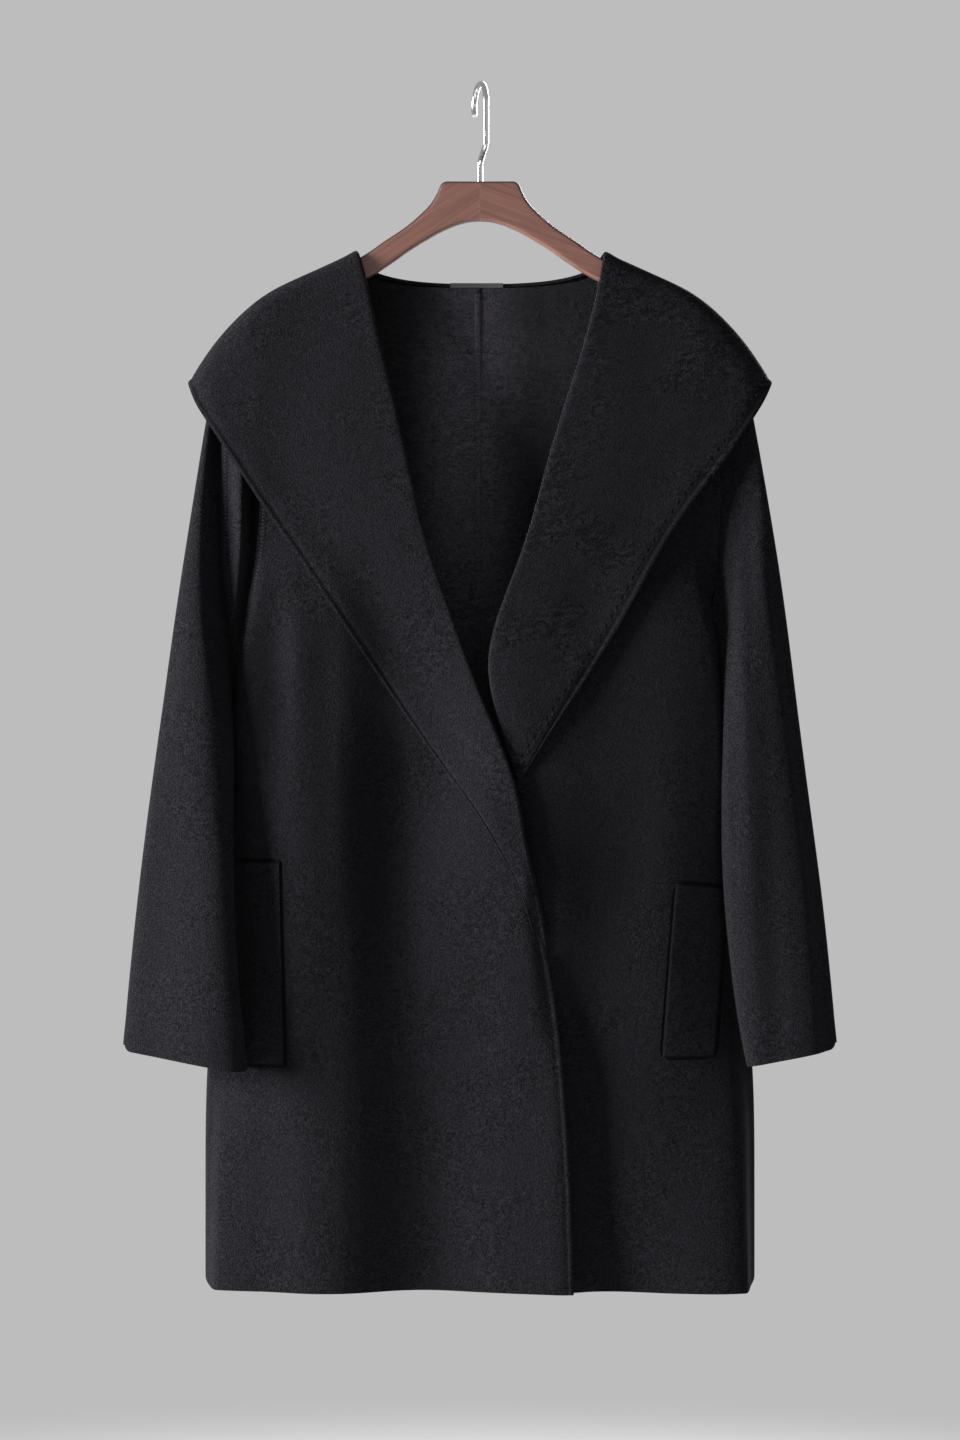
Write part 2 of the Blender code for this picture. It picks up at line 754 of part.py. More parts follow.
def welt_grid(welt):
    """A strip on the front's face. Its rows follow the slant of the pocket."""
    layer = "right" if welt.side == RIGHT else "left"
    grid = []
    for i in range(9):
        down = i / 8
        x = welt.top_x + (welt.foot_x - welt.top_x) * down
        z = welt.top_z + (welt.foot_z - welt.top_z) * down
        row = []
        for k in range(4):
            share = k / 3
            point = face_point(layer, x + welt.width * share, z + welt.top_rise * share * (1 - down))
            row.append(point - Vector((0, SEAM + 0.3 + CLOTH, 0)))
        grid.append(row)
    return grid


def make_sleeve(hand, side, rings):
    """A sleeve of two pieces, seamed along its outer and inner folds: the top sleeve and the under sleeve."""
    angles = list(HALF_TURN) + [360 - a for a in reversed(HALF_TURN[1:-1])]
    outer = sleeve_grid(side, rings, angles)
    inner = []
    for row, line in zip(outer, normals(outer, True)):
        points = [point - normal * CLOTH for point, normal in zip(row, line)]
        for point, angle in zip(points, angles):
            point.x = beside_armhole(side, angle, point, SEAM)
        inner.append(points)
    half = len(HALF_TURN) - 1
    for part, start, facing in (("top", 0, FRONT), ("under", half, BACK)):
        columns = [(start + k) % len(angles) for k in range(half + 1)]
        name = "sleeve_" + part + "_" + hand
        faces = [half_tube(grid, columns, facing) for grid in (outer, inner)]
        wall(name, *faces, wool(name))


def half_tube(grid, columns, facing):
    """Half of each ring, its two ends drawn back from the seams."""
    back = Vector((0, facing * SEAM / 2, 0))
    rows = []
    for ring in grid:
        row = [ring[k].copy() for k in columns]
        row[0] += back
        row[-1] += back
        rows.append(row)
    return rows


def make_label(material):
    """A blank strip, upright just inside the back neck."""
    rows = []
    for z in (LABEL_TOP_Z, LABEL_TOP_Z - LABEL_TALL):
        row = []
        for k in range(7):
            x = LABEL_LOW_X + (LABEL_HIGH_X - LABEL_LOW_X) * k / 6
            inside = cloth_depth(BACK, x, -174) - CLOTH - SEAM
            row.append(Vector((x, inside, z)))
        rows.append(row)
    inner = [[p - Vector((0, LABEL_THICK, 0)) for p in row] for row in rows]
    return wall("neck_label", rows, inner, material)


def make_hanger(side, name, material):
    """One half of the hanger: its outline, drawn out to its thickness, with rounded long edges."""
    form = bmesh.new()
    front = [
        form.verts.new((side * point.x * MM, -HANGER_HALF_THICK * MM, point.z * MM))
        for point in HANGER_OUTLINE
    ]
    face = form.faces.new(front)
    drawn = bmesh.ops.extrude_face_region(form, geom=[face])
    moved = [item for item in drawn["geom"] if isinstance(item, bmesh.types.BMVert)]
    bmesh.ops.translate(form, verts=moved, vec=(0, 2 * HANGER_HALF_THICK * MM, 0))
    bmesh.ops.recalc_face_normals(form, faces=form.faces)
    inside = HANGER_GAP * MM * 1.5
    long_edges = [
        edge for edge in form.edges
        if abs(edge.verts[0].co.y - edge.verts[1].co.y) < MM
        and not all(abs(v.co.x) < inside for v in edge.verts)
    ]
    bmesh.ops.bevel(
        form, geom=long_edges, offset=HANGER_EDGE * MM, affect="EDGES", segments=2, profile=0.5, material=-1
    )
    mesh = bpy.data.meshes.new(name)
    form.to_mesh(mesh)
    form.free()
    mesh.shade_smooth()
    mesh.set_sharp_from_angle(angle=math.radians(50))
    piece = bpy.data.objects.new(name, mesh)
    mesh.materials.append(material)
    bpy.context.scene.collection.objects.link(piece)
    return piece


def hook_route():
    """(forward, height) of the wire's middle: up from the hanger, forward, and back over the seat."""
    bend = HOOK_INSIDE + HOOK_WIRE
    route = [(0, HOOK_FOOT_Z), (0, HOOK_FOOT_Z + 5), (0, HOOK_JOG_LOW_Z)]
    for k in range(1, 8):
        share = k / 8
        route.append((bend * ease(share), HOOK_JOG_LOW_Z + (HOOK_JOG_HIGH_Z - HOOK_JOG_LOW_Z) * share))
    route.append((bend, HOOK_JOG_HIGH_Z))
    route.append((bend, -HOOK_INSIDE - 12))
    turns = 16
    for k in range(turns + 1):
        angle = HOOK_END_ANGLE * k / turns
        route.append((bend * math.cos(angle), -HOOK_INSIDE + bend * math.sin(angle)))
    return route


def make_hook(material):
    curve = bpy.data.curves.new("hook", "CURVE")
    curve.dimensions = "3D"
    curve.bevel_depth = HOOK_WIRE * MM
    curve.bevel_resolution = 2
    curve.use_fill_caps = True
    spline = curve.splines.new("POLY")
    route = hook_route()
    spline.points.add(len(route) - 1)
    for point, (forward, height) in zip(spline.points, route):
        x = forward * math.sin(HOOK_TURN)
        y = -forward * math.cos(HOOK_TURN)
        point.co = (x * MM, y * MM, height * MM, 1)
    piece = bpy.data.objects.new("hook", curve)
    curve.materials.append(material)
    bpy.context.scene.collection.objects.link(piece)
    return piece


def finish(name, colour, roughness, metallic=0.0):
    material = bpy.data.materials.new(name)
    material.use_nodes = True
    shader = material.node_tree.nodes["Principled BSDF"]
    shader.inputs["Base Color"].default_value = (*colour, 1)
    shader.inputs["Roughness"].default_value = roughness
    shader.inputs["Metallic"].default_value = metallic
    material.diffuse_color = (*colour, 1)
    return material


def wool(piece):
    """Each piece of cloth has its own copy of the wool."""
    return finish(piece + "_wool", WOOL_COLOUR, 0.95)


def main():
    for old in list(bpy.data.objects):
        bpy.data.objects.remove(old)
    sheet("back_right", back_grid(RIGHT), wool("back_right"), BACK)
    sheet("back_left", back_grid(LEFT), wool("back_left"), BACK)
    right = front_grid(RIGHT, "right", "right", RIGHT_LAPEL, RIGHT_FRONT_EDGE)
    left = front_grid(LEFT, "left", "left", LEFT_LAPEL, LEFT_FRONT_EDGE)
    sheet("front_right", right, wool("front_right"), FRONT)
    sheet("front_left", left, wool("front_left"), FRONT)
    make_collar("collar_right", RIGHT, RIGHT_LAPEL, wool("collar_right"))
    make_collar("collar_left", LEFT, LEFT_LAPEL, wool("collar_left"))
    make_sleeve("right", RIGHT, RIGHT_RINGS)
    make_sleeve("left", LEFT, LEFT_RINGS)
    sheet("pocket_welt_right", welt_grid(WELTS[0]), wool("pocket_welt_right"))
    sheet("pocket_welt_left", welt_grid(WELTS[1]), wool("pocket_welt_left"))
    make_label(finish("label_ribbon", LABEL_COLOUR, 0.7))
    make_hanger(RIGHT, "hanger_right", finish("hanger_right_wood", WOOD_COLOUR, 0.4))
    make_hanger(LEFT, "hanger_left", finish("hanger_left_wood", WOOD_COLOUR, 0.4))
    make_hook(finish("hook_chrome", CHROME_COLOUR, 0.15, 1.0))


main()
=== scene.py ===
# %% [markdown]
# # A wool wrap coat on its hanger
#
# The coat is a straight, mid-length wrap coat in a thick brushed wool with a very wide shawl collar. It hangs
# flat on a walnut hanger with a chrome hook. A maker's solids of every piece are already packed, in metres,
# in one shared frame. This lesson dresses them: each cloth solid is replaced by a finer shell that keeps its
# form, gets rounded edges, soft creases and hand stitches, and is coloured by materials built from nodes.

# %% Load the imported solids in their places
import math
from collections import namedtuple

import bmesh
import bpy
import numpy as np
from mathutils import Matrix, Vector
from mathutils.kdtree import KDTree


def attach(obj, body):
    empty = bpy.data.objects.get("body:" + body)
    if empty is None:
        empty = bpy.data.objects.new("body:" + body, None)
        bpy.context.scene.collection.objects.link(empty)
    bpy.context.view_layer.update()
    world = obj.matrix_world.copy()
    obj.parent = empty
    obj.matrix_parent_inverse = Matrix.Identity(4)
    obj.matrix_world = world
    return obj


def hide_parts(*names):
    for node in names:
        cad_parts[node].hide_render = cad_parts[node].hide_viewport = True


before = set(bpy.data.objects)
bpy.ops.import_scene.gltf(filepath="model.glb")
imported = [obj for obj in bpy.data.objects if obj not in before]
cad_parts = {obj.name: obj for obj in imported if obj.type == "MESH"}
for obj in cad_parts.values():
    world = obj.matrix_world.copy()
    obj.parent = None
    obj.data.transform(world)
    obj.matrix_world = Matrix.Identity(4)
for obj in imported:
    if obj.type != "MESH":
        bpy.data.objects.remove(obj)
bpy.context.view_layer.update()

print("solids:", ", ".join(sorted(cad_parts)))

# %% [markdown]
# ## The camera and the studio
#
# The picture is taken level and square on, from 2.8 m, which is far enough that the coat hardly narrows with
# distance. One pixel of the 960 x 1440 frame is 0.87 mm in the plane of the hanger. The focal length follows
# from that, so nothing is guessed by eye.

# %% Camera
MM = 0.001
PIXEL = 0.87 * MM
FRAME_ROWS = 1440
SEAT_ROW = 87  # the pixel row of the hook's seat, where the origin is
FRAME_TALL = FRAME_ROWS * PIXEL
DISTANCE = 2.8
SENSOR = 36.0  # mm along the frame's long side
MIDDLE_Z = -(FRAME_ROWS / 2 - SEAT_ROW) * PIXEL

camera_data = bpy.data.cameras.new("camera")
camera_data.sensor_width = SENSOR
camera_data.lens = SENSOR * DISTANCE / FRAME_TALL
camera = bpy.data.objects.new("camera", camera_data)
camera.location = (0, -DISTANCE, MIDDLE_Z)
camera.rotation_euler = (math.radians(90), 0, 0)
bpy.context.scene.collection.objects.link(camera)
bpy.context.scene.camera = camera
print("focal length:", round(camera_data.lens, 2), "mm")

# %% [markdown]
# Colours are written as the hex values that a paint program shows. Blender's sockets want linear values, so
# one function turns them. Another small function adds a node, sets it up and links it, and a third makes an
# object of a finished bmesh.

# %% Helpers for colours, nodes and pieces


def linear(hex_colour):
    """Linear RGBA from an sRGB hex colour such as "1f1e23"."""
    parts = [int(hex_colour[i:i + 2], 16) / 255 for i in (0, 2, 4)]
    return [p / 12.92 if p <= 0.04045 else ((p + 0.055) / 1.055) ** 2.4 for p in parts] + [1.0]


def add_node(tree, kind, settings=None, links=None):
    """Adds a node. A setting's name is a socket's or a property's; a link's name is the socket it feeds."""
    node = tree.nodes.new(kind)
    for key, value in (settings or {}).items():
        if isinstance(key, int) or key in node.inputs:
            node.inputs[key].default_value = value
        else:
            setattr(node, key, value)
    for key, socket in (links or {}).items():
        tree.links.new(socket, node.inputs[key])
    return node


def new_material(name, settings):
    """A material whose Principled shader has some sockets set: (material, tree, shader)."""
    material = bpy.data.materials.new(name)
    material.use_nodes = True
    tree = material.node_tree
    shader = tree.nodes["Principled BSDF"]
    for socket, value in settings.items():
        shader.inputs[socket].default_value = value
    return material, tree, shader


def piece_of(form, name):
    """The object of a bmesh, which is freed."""
    mesh = bpy.data.meshes.new(name)
    form.to_mesh(mesh)
    form.free()
    piece = bpy.data.objects.new(name, mesh)
    bpy.context.scene.collection.objects.link(piece)
    return piece


# %% [markdown]
# The studio is a pale room with one soft light that rakes across the coat from the left, which is what draws
# its folds. A weak light stands on the right, and another lights the back for whoever walks round. A pale
# floor lies well below the coat. It fades out with distance, so no edge of it shows.

# %% Lights and room


def softbox(name, place, aim, size, watts):
    light = bpy.data.lights.new(name, "AREA")
    light.shape = "RECTANGLE"
    light.size, light.size_y = size
    light.energy = watts
    lamp = bpy.data.objects.new(name, light)
    lamp.location = place
    lamp.rotation_euler = (Vector(aim) - Vector(place)).to_track_quat("-Z", "Y").to_euler()
    bpy.context.scene.collection.objects.link(lamp)
    print(name, watts, "W")


softbox("key_light", place=(-3.05, -0.78, -0.2), aim=(0, 0, -0.55), size=(1.2, 1.4), watts=620)
softbox("right_light", place=(2.4, -1.9, 0.2), aim=(0, 0, -0.5), size=(1.0, 1.6), watts=7)
softbox("back_light", place=(0.9, 2.4, 0.5), aim=(0, 0, -0.5), size=(1.6, 1.4), watts=150)

room = bpy.data.worlds.new("studio_room")
room.use_nodes = True
room.node_tree.nodes["Background"].inputs["Color"].default_value = linear("bdbdbd")
bpy.context.scene.world = room
bpy.context.scene.view_settings.view_transform = "Standard"

# %% The floor
FLOOR_Z = -1.6
FLOOR_RADIUS = 2.3
FADE_START, FADE_END = 0.9, 2.2  # distances from the middle

form = bmesh.new()
bmesh.ops.create_circle(form, cap_ends=True, radius=FLOOR_RADIUS, segments=96)
bmesh.ops.translate(form, verts=form.verts, vec=(0, 0, FLOOR_Z))
floor = piece_of(form, "studio_floor")

floor_paint, tree, shader = new_material(
    "studio_floor_paint", {"Base Color": linear("c9c9c9"), "Roughness": 0.9}
)
place = add_node(tree, "ShaderNodeTexCoord")
flat = add_node(
    tree, "ShaderNodeVectorMath", {"operation": "MULTIPLY", 1: (1, 1, 0)}, {0: place.outputs["Object"]}
)
far = add_node(tree, "ShaderNodeVectorMath", {"operation": "LENGTH"}, {0: flat.outputs["Vector"]})
fade = add_node(
    tree, "ShaderNodeMapRange",
    {"interpolation_type": "SMOOTHSTEP", 1: FADE_START, 2: FADE_END, 3: 1.0, 4: 0.0},
    {"Value": far.outputs["Value"]},
)
tree.links.new(fade.outputs["Result"], shader.inputs["Alpha"])
floor.data.materials.append(floor_paint)
print("floor at", FLOOR_Z, "m")

# %% [markdown]
# ## The wool
#
# The real cloth is a double-faced wool and cashmere, brushed and then pressed wet so that its nap lies in
# small slanted ripples, three to five millimetres long. It is nearly black with a trace of violet, and it
# scatters a little light at grazing angles. A flat black would lose the folds, so the ripples, the fine
# fibres and slow changes from patch to patch are all drawn, as colour and as bump. Patches where the nap lies
# flat look smooth. The pattern is solid: it is read at each point's place, so no seam of a picture can show.
#
# Two things are read from attributes of the surface instead: the dimples of the pick stitches, and the line
# that a welt's seam presses into the front. Both are pressed in as bump and darkened with painted shade, and
# both are made further below.

# %% Patterns and sums of patterns
NOISE_WIDTH = 0.62  # of a noise's features at scale 1


def noise_value(tree, vector, size, settings=None):
    """A noise whose features are about as wide as size."""
    chosen = {"Scale": NOISE_WIDTH / size, "Detail": 2.0, "Roughness": 0.55}
    chosen.update(settings or {})
    return add_node(tree, "ShaderNodeTexNoise", chosen, {"Vector": vector}).outputs["Fac"]


def remap(tree, value, low, high, start=0.0, end=1.0):
    settings = {"interpolation_type": "SMOOTHSTEP", 1: low, 2: high, 3: start, 4: end}
    return add_node(tree, "ShaderNodeMapRange", settings, {"Value": value}).outputs["Result"]


def mixed(tree, share, first, second):
    """The colour between two hex colours."""
    node = add_node(tree, "ShaderNodeMix", {"data_type": "RGBA"}, {0: share})
    node.inputs[6].default_value = linear(first)
    node.inputs[7].default_value = linear(second)
    return node.outputs[2]


def maths(tree, operation, first, second):
    settings, links = {"operation": operation}, {}
    for place, value in ((0, first), (1, second)):
        (settings if isinstance(value, (int, float)) else links)[place] = value
    return add_node(tree, "ShaderNodeMath", settings, links).outputs[0]


# %% Where the cloth is drawn in and shade is painted
STITCH_GAP = 9.5 * MM  # between the pick stitches of a turned edge
STITCH_INSIDE = 9.0 * MM  # from the edge
DIMPLE_LONG, DIMPLE_WIDE = 2.0 * MM, 1.3 * MM  # half of each
BASE = 100 * MM  # the kept distance of a point on a welt's outline


def dimples(tree):
    """1 in each dimple where a pick stitch draws the cloth in, from the distances kept on the surface."""
    along = add_node(tree, "ShaderNodeAttribute", {"attribute_name": "along_edge"}).outputs["Fac"]
    inside = add_node(tree, "ShaderNodeAttribute", {"attribute_name": "from_edge"}).outputs["Fac"]
    beside = maths(tree, "DIVIDE", maths(tree, "PINGPONG", along, STITCH_GAP / 2), DIMPLE_LONG)
    across = maths(tree, "DIVIDE", maths(tree, "SUBTRACT", inside, STITCH_INSIDE), DIMPLE_WIDE)
    pair = add_node(tree, "ShaderNodeCombineXYZ", {}, {"X": beside, "Y": across}).outputs["Vector"]
    away = add_node(tree, "ShaderNodeVectorMath", {"operation": "LENGTH"}, {0: pair}).outputs["Value"]
    return remap(tree, away, 0.2, 1.3, 1.0, 0.0)


def welt_line(tree):
    """1 along a welt's outline, where the seam draws the cloth in."""
    distance = add_node(tree, "ShaderNodeAttribute", {"attribute_name": "from_welt"}).outputs["Fac"]
    away = maths(tree, "ABSOLUTE", maths(tree, "SUBTRACT", distance, BASE), 0.0)
    return remap(tree, away, 0.6 * MM, 2.2 * MM, 1.0, 0.0)


# %% The wool's material
FIBRE = 0.75 * MM  # coarser than a real fibre, so that it shows
FIBRE_RELIEF = 0.3 * MM
PATCH = 34 * MM
GROUND_TONE = 0.1  # tones are shares of the way from the deep colour to the bright one
FIBRE_TONE = 0.6
SUNK_PAINTED_SHADE, SUNK_DEPTH = 0.3, 2.0  # of a dimple: its painted shade and its depth, against one ripple
WELT_PULL = 2.2  # of a welt's seam, against one stitch, in its depth and its painted shade
INSIDE_TONE, INSIDE_GAIN = 0.16, 0.6  # painted light: the inner face is drawn paler and more even
INSIDE_PAINTED_LIGHT_AND_SHADE = (  # (axis, low and high in millimetres, the tone's share at each)
    ("X", -70, -20, 0.3, 1.5),  # painted shade beside the right lapel, painted light towards the middle
    ("X", -5, 50, 1.0, 0.24),  # painted shade beside the left lapel
    ("Z", -250, -175, 1.0, 0.6),  # painted shade under the neck's edge
)


def painted_inside_light_and_shade(tree, level, axes):
    """The tone of the inner face: painted light makes it paler, painted shade darkens it beside the lapels
    and under the neck's edge.
    """
    level = maths(tree, "ADD", maths(tree, "MULTIPLY", level, INSIDE_GAIN), INSIDE_TONE)
    for axis, low, high, start, end in INSIDE_PAINTED_LIGHT_AND_SHADE:
        share = remap(tree, axes.outputs[axis], low * MM, high * MM, start, end)
        level = maths(tree, "MULTIPLY", level, share)
    return level


def make_wool(name, tilt, across, long, least, deep="030303", bright="1b1a1f", sewn=1.0, relief=0.6 * MM,
              inner=False, rippled=0.35):
    """Brushed wool with ripples of a size across and long, tilted by some degrees.

    Between the patches the ripples keep a least share. Rippled is their share of the tone, relief their
    height, and sewn is 0 where the pick stitches don't show. Inner is for the face inside the coat, which
    gets painted light and painted shade.
    """
    material, tree, shader = new_material(name, {
        "Roughness": 0.95, "Specular IOR Level": 0.05, "Sheen Weight": 0.01, "Sheen Roughness": 0.5,
        "Sheen Tint": linear("d6d2e0"),
    })
    place = add_node(tree, "ShaderNodeTexCoord").outputs["Object"]
    lean = add_node(
        tree, "ShaderNodeMapping",
        {"vector_type": "TEXTURE", "Rotation": (0, math.radians(tilt), 0), "Scale": (long / across, 1, 1)},
        {"Vector": place},
    ).outputs["Vector"]
    ripple = noise_value(tree, lean, across, {"Distortion": 0.8})
    fibre = remap(tree, noise_value(tree, place, FIBRE, {"Detail": 3.0}), 0.36, 0.66)
    patch = noise_value(tree, place, PATCH, {"Detail": 1.0})
    axes = add_node(tree, "ShaderNodeSeparateXYZ", {}, {"Vector": place})
    crest = remap(tree, ripple, 0.34, 0.66)
    strong = remap(tree, patch, 0.40, 0.62, least, 1.0)
    if not inner:  # the back of the coat is smoother
        strong = maths(tree, "MULTIPLY", strong, remap(tree, axes.outputs["Y"], -15 * MM, 10 * MM, 1.0, 0.3))
    nap = maths(tree, "MULTIPLY", crest, strong)
    pulled = maths(tree, "MULTIPLY", dimples(tree), sewn)
    sunk = maths(tree, "MAXIMUM", pulled, maths(tree, "MULTIPLY", welt_line(tree), WELT_PULL))
    share = maths(tree, "MULTIPLY", strong, rippled)
    light = maths(tree, "MULTIPLY", maths(tree, "SUBTRACT", crest, 0.5), share)
    level = maths(tree, "ADD", light, GROUND_TONE)
    level = maths(tree, "ADD", level, maths(tree, "MULTIPLY", fibre, FIBRE_TONE))
    if inner:
        level = painted_inside_light_and_shade(tree, level, axes)
    # Painted shade in the pick stitches' dimples and along the welts' seams.
    tone = maths(tree, "SUBTRACT", level, maths(tree, "MULTIPLY", sunk, SUNK_PAINTED_SHADE))
    tree.links.new(mixed(tree, tone, deep, bright), shader.inputs["Base Color"])
    pressed = maths(tree, "SUBTRACT", nap, maths(tree, "MULTIPLY", sunk, SUNK_DEPTH))
    low = add_node(
        tree, "ShaderNodeBump", {"Strength": 1.0, "Distance": relief}, {"Height": pressed}
    ).outputs["Normal"]
    fine = add_node(
        tree, "ShaderNodeBump", {"Strength": 1.0, "Distance": FIBRE_RELIEF}, {"Height": fibre, "Normal": low}
    ).outputs["Normal"]
    tree.links.new(fine, shader.inputs["Normal"])
    return material


body_wool = make_wool("brushed_wool_body", tilt=-4, across=1.5 * MM, long=3.2 * MM, least=0.2)
# Painted light: the right lapel, on the lit side, has a bright colour a little lighter than the body's.
lapel_wool = make_wool(
    "brushed_wool_right_lapel", tilt=-6, across=1.6 * MM, long=3.8 * MM, least=0.1, bright="1d1c21",
    sewn=0.0, relief=0.4 * MM,
)
# Painted shade: the left lapel, on the shaded side, has a bright colour a little darker than the body's.
rippled_wool = make_wool(
    "brushed_wool_left_lapel", tilt=-8, across=1.8 * MM, long=4.8 * MM, least=0.15, bright="1a191e",
    relief=0.8 * MM, rippled=0.6,
)
# Painted light and shade: the inside's wool is a paler copy of the body's, shaded by its place.
inner_wool = make_wool(
    "brushed_wool_inside", tilt=-3, across=1.9 * MM, long=5.2 * MM, least=0.6, deep="070708",
    bright="403e44", inner=True, rippled=0.4,
)
sleeve_wool = make_wool(
    "brushed_wool_sleeve", tilt=6, across=1.5 * MM, long=3.2 * MM, least=0.1, bright="1d1c21",
    relief=0.35 * MM,
)
for wool in (body_wool, lapel_wool, rippled_wool, inner_wool, sleeve_wool):
    print(wool.name, len(wool.node_tree.nodes), "nodes")

# %% [markdown]
# ## From solid to cloth
#
# A cloth solid is a wall of coarse faces with square edges. To turn it into cloth, a copy is merged, its
# triangles are joined to quads, its square rims are rounded with a bevel, and a Subdivision Surface smooths
# it. The other way, building each panel again from nothing, would risk a coat that no longer fits its solids.
#
# Where a real edge is turned in and sewn, it is thicker than the rest, with a shallow groove behind it. So
# three rings are cut into the visible face beside such a rim before the surface is smoothed. The one nearest
# to the rim is raised, the next one is pressed in, and the third keeps its height.

# %% Find a solid's rims
MERGE = 0.002 * MM
JOIN_ANGLE = math.radians(70)
RIM_ANGLE = math.radians(62)


def quads_of(node):
    """A bmesh of a CAD node's wall, in quads where its faces came from quads."""
    form = bmesh.new()
    form.from_mesh(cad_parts[node].data)
    bmesh.ops.remove_doubles(form, verts=form.verts, dist=MERGE)
    bmesh.ops.join_triangles(
        form, faces=form.faces, angle_face_threshold=JOIN_ANGLE, angle_shape_threshold=JOIN_ANGLE
    )
    form.normal_update()
    return form


def is_rim(edge):
    return len(edge.link_faces) == 2 and edge.calc_face_angle() > RIM_ANGLE


def rim_chains(form):
    """The rims, split at their corners: lists of vertices in order."""
    beside = {}  # filled in the mesh's own order, so that every run cuts and sews alike
    for edge in filter(is_rim, form.edges):
        for vert in edge.verts:
            beside.setdefault(vert, []).append(edge)
    corners = [vert for vert, near in beside.items() if len(near) != 2]
    chains = []
    used = set()
    for corner in corners:
        for edge in beside[corner]:
            if edge in used:
                continue
            chain = [corner]
            vert = corner
            while edge and edge not in used:
                used.add(edge)
                vert = edge.other_vert(vert)
                chain.append(vert)
                onward = [e for e in beside[vert] if e not in used]
                edge = onward[0] if len(beside[vert]) == 2 and onward else None
            chains.append(chain)
    return chains


def longest_rim(form):
    """The longest rim, from its lower end to its upper one."""
    chain = max(rim_chains(form), key=lambda rim: sum((a.co - b.co).length for a, b in zip(rim, rim[1:])))
    return chain if chain[0].co.z < chain[-1].co.z else chain[::-1]


# %% Cut a turned edge
CLOTH = 2.5 * MM  # the wall's thickness
BAND = ((8.0 * MM, 0.0), (5.4 * MM, -1.0 * MM), (2.9 * MM, 0.5 * MM))  # (distance from the rim, height)
MOST = 0.6  # of a face's width lies between a rim and a ring


def face_beside(chain, index):
    """The visible face beside a rim's edge: of its two faces, the one that is no narrow wall."""
    edge = next(e for e in chain[index].link_edges if e.other_vert(chain[index]) == chain[index + 1])

    def depth(face):
        far = next((e for e in face.edges if not set(e.verts) & set(edge.verts)), None)
        return (far.verts[0].co + far.verts[1].co - edge.verts[0].co - edge.verts[1].co).length if far else 0

    return edge, max(edge.link_faces, key=lambda face: abs(depth(face) / 2 - CLOTH))


def cut_ring(form, chain, distance):
    """Cuts one ring beside a rim and returns its vertices."""
    rim = set(chain)
    across = {}
    for index in range(len(chain) - 1):
        edge, face = face_beside(chain, index)
        for beside in face.edges:
            near = set(beside.verts) & rim
            if len(near) == 1:
                across[beside] = near.pop()
    ring = []
    for edge, near in across.items():
        share = min(distance / edge.calc_length(), MOST)
        ring.append(bmesh.utils.edge_split(edge, near, share)[1])
    bmesh.ops.connect_verts(form, verts=ring)
    return ring


def turned_edge(form, chain):
    """A thicker edge with a groove behind it, along one rim."""
    rings = [(cut_ring(form, chain, distance), height) for distance, height in BAND]
    form.normal_update()
    ways = {}
    for ring, height in rings:
        for vert in ring:
            faces = sorted(vert.link_faces, key=lambda face: face.calc_area())
            ways[vert] = faces[-1].normal * height
    for vert, way in ways.items():
        vert.co += way


# %% Make a smooth shell
RIM_RADIUS = 0.9 * MM
LEVELS = 2


def shell_of(form, name):
    """Rounds the rims, smooths the wall and makes it an object."""
    rims = [edge for edge in form.edges if is_rim(edge)]
    bmesh.ops.bevel(
        form, geom=rims, offset=RIM_RADIUS, affect="EDGES", segments=2, profile=0.5, material=-1,
        clamp_overlap=True,
    )
    rough = piece_of(form, name + "_rough")
    smooth = rough.modifiers.new("smooth", "SUBSURF")
    smooth.levels = smooth.render_levels = LEVELS
    whole = bpy.data.meshes.new_from_object(rough.evaluated_get(bpy.context.evaluated_depsgraph_get()))
    bpy.data.objects.remove(rough)
    whole.name = name
    whole.shade_smooth()
    piece = bpy.data.objects.new(name, whole)
    bpy.context.scene.collection.objects.link(piece)
    return piece


# %% Dress every cloth solid
CLOTHES = {
    "front_right": body_wool,
    "front_left": body_wool,
    "back_right": body_wool,
    "back_left": body_wool,
    "collar_right": lapel_wool,
    "collar_left": rippled_wool,
    "sleeve_top_right": sleeve_wool,
    "sleeve_under_right": sleeve_wool,
    "sleeve_top_left": sleeve_wool,
    "sleeve_under_left": sleeve_wool,
    "pocket_welt_right": body_wool,
    "pocket_welt_left": body_wool,
}
TURNED = ("front_right", "collar_right", "collar_left")

shells = {}
free_edges = {}  # each piece's longest rim: (place, the way inward)
for node, wool in CLOTHES.items():
    form = quads_of(node)
    longest = longest_rim(form)
    inward = []
    for index in range(len(longest) - 1):
        edge, face = face_beside(longest, index)
        onward = next(e for e in longest[index].link_edges if e in face.edges and e != edge)
        inward.append((onward.other_vert(longest[index]).co - longest[index].co).normalized())
    free_edges[node] = [(vert.co.copy(), way) for vert, way in zip(longest, inward + inward[-1:])]
    if node in TURNED:
        turned_edge(form, longest)
    piece = shell_of(form, node + "_cloth")
    piece.data.materials.clear()
    piece.data.materials.append(wool)
    if node.startswith("back"):
        piece.data.materials.append(inner_wool)
        for face in piece.data.polygons:
            face.material_index = int(face.normal.y < 0)
    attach(piece, "root")
    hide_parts(node)
    shells[node] = piece
    area = sum(face.area for face in piece.data.polygons) / 2
    print(node, len(piece.data.polygons), "faces,", round(area, 4), "square metres of cloth")

# %% [markdown]
# ## The edge of the collar
#
# The left lapel's outer edge is sewn by hand: pick stitches, nine millimetres inside the edge and nine and a
# half apart, that draw the cloth into small dimples. Each point of the collar keeps its distance from that
# edge and along it as attributes. The wool's material presses the dimples in from them and darkens them with
# painted shade, and the free edges of both lapels are lifted by the first of them.

# %% Keep the distances from the edge and along it
SEWN = ("collar_right", "collar_left")
STEP = 1.0 * MM


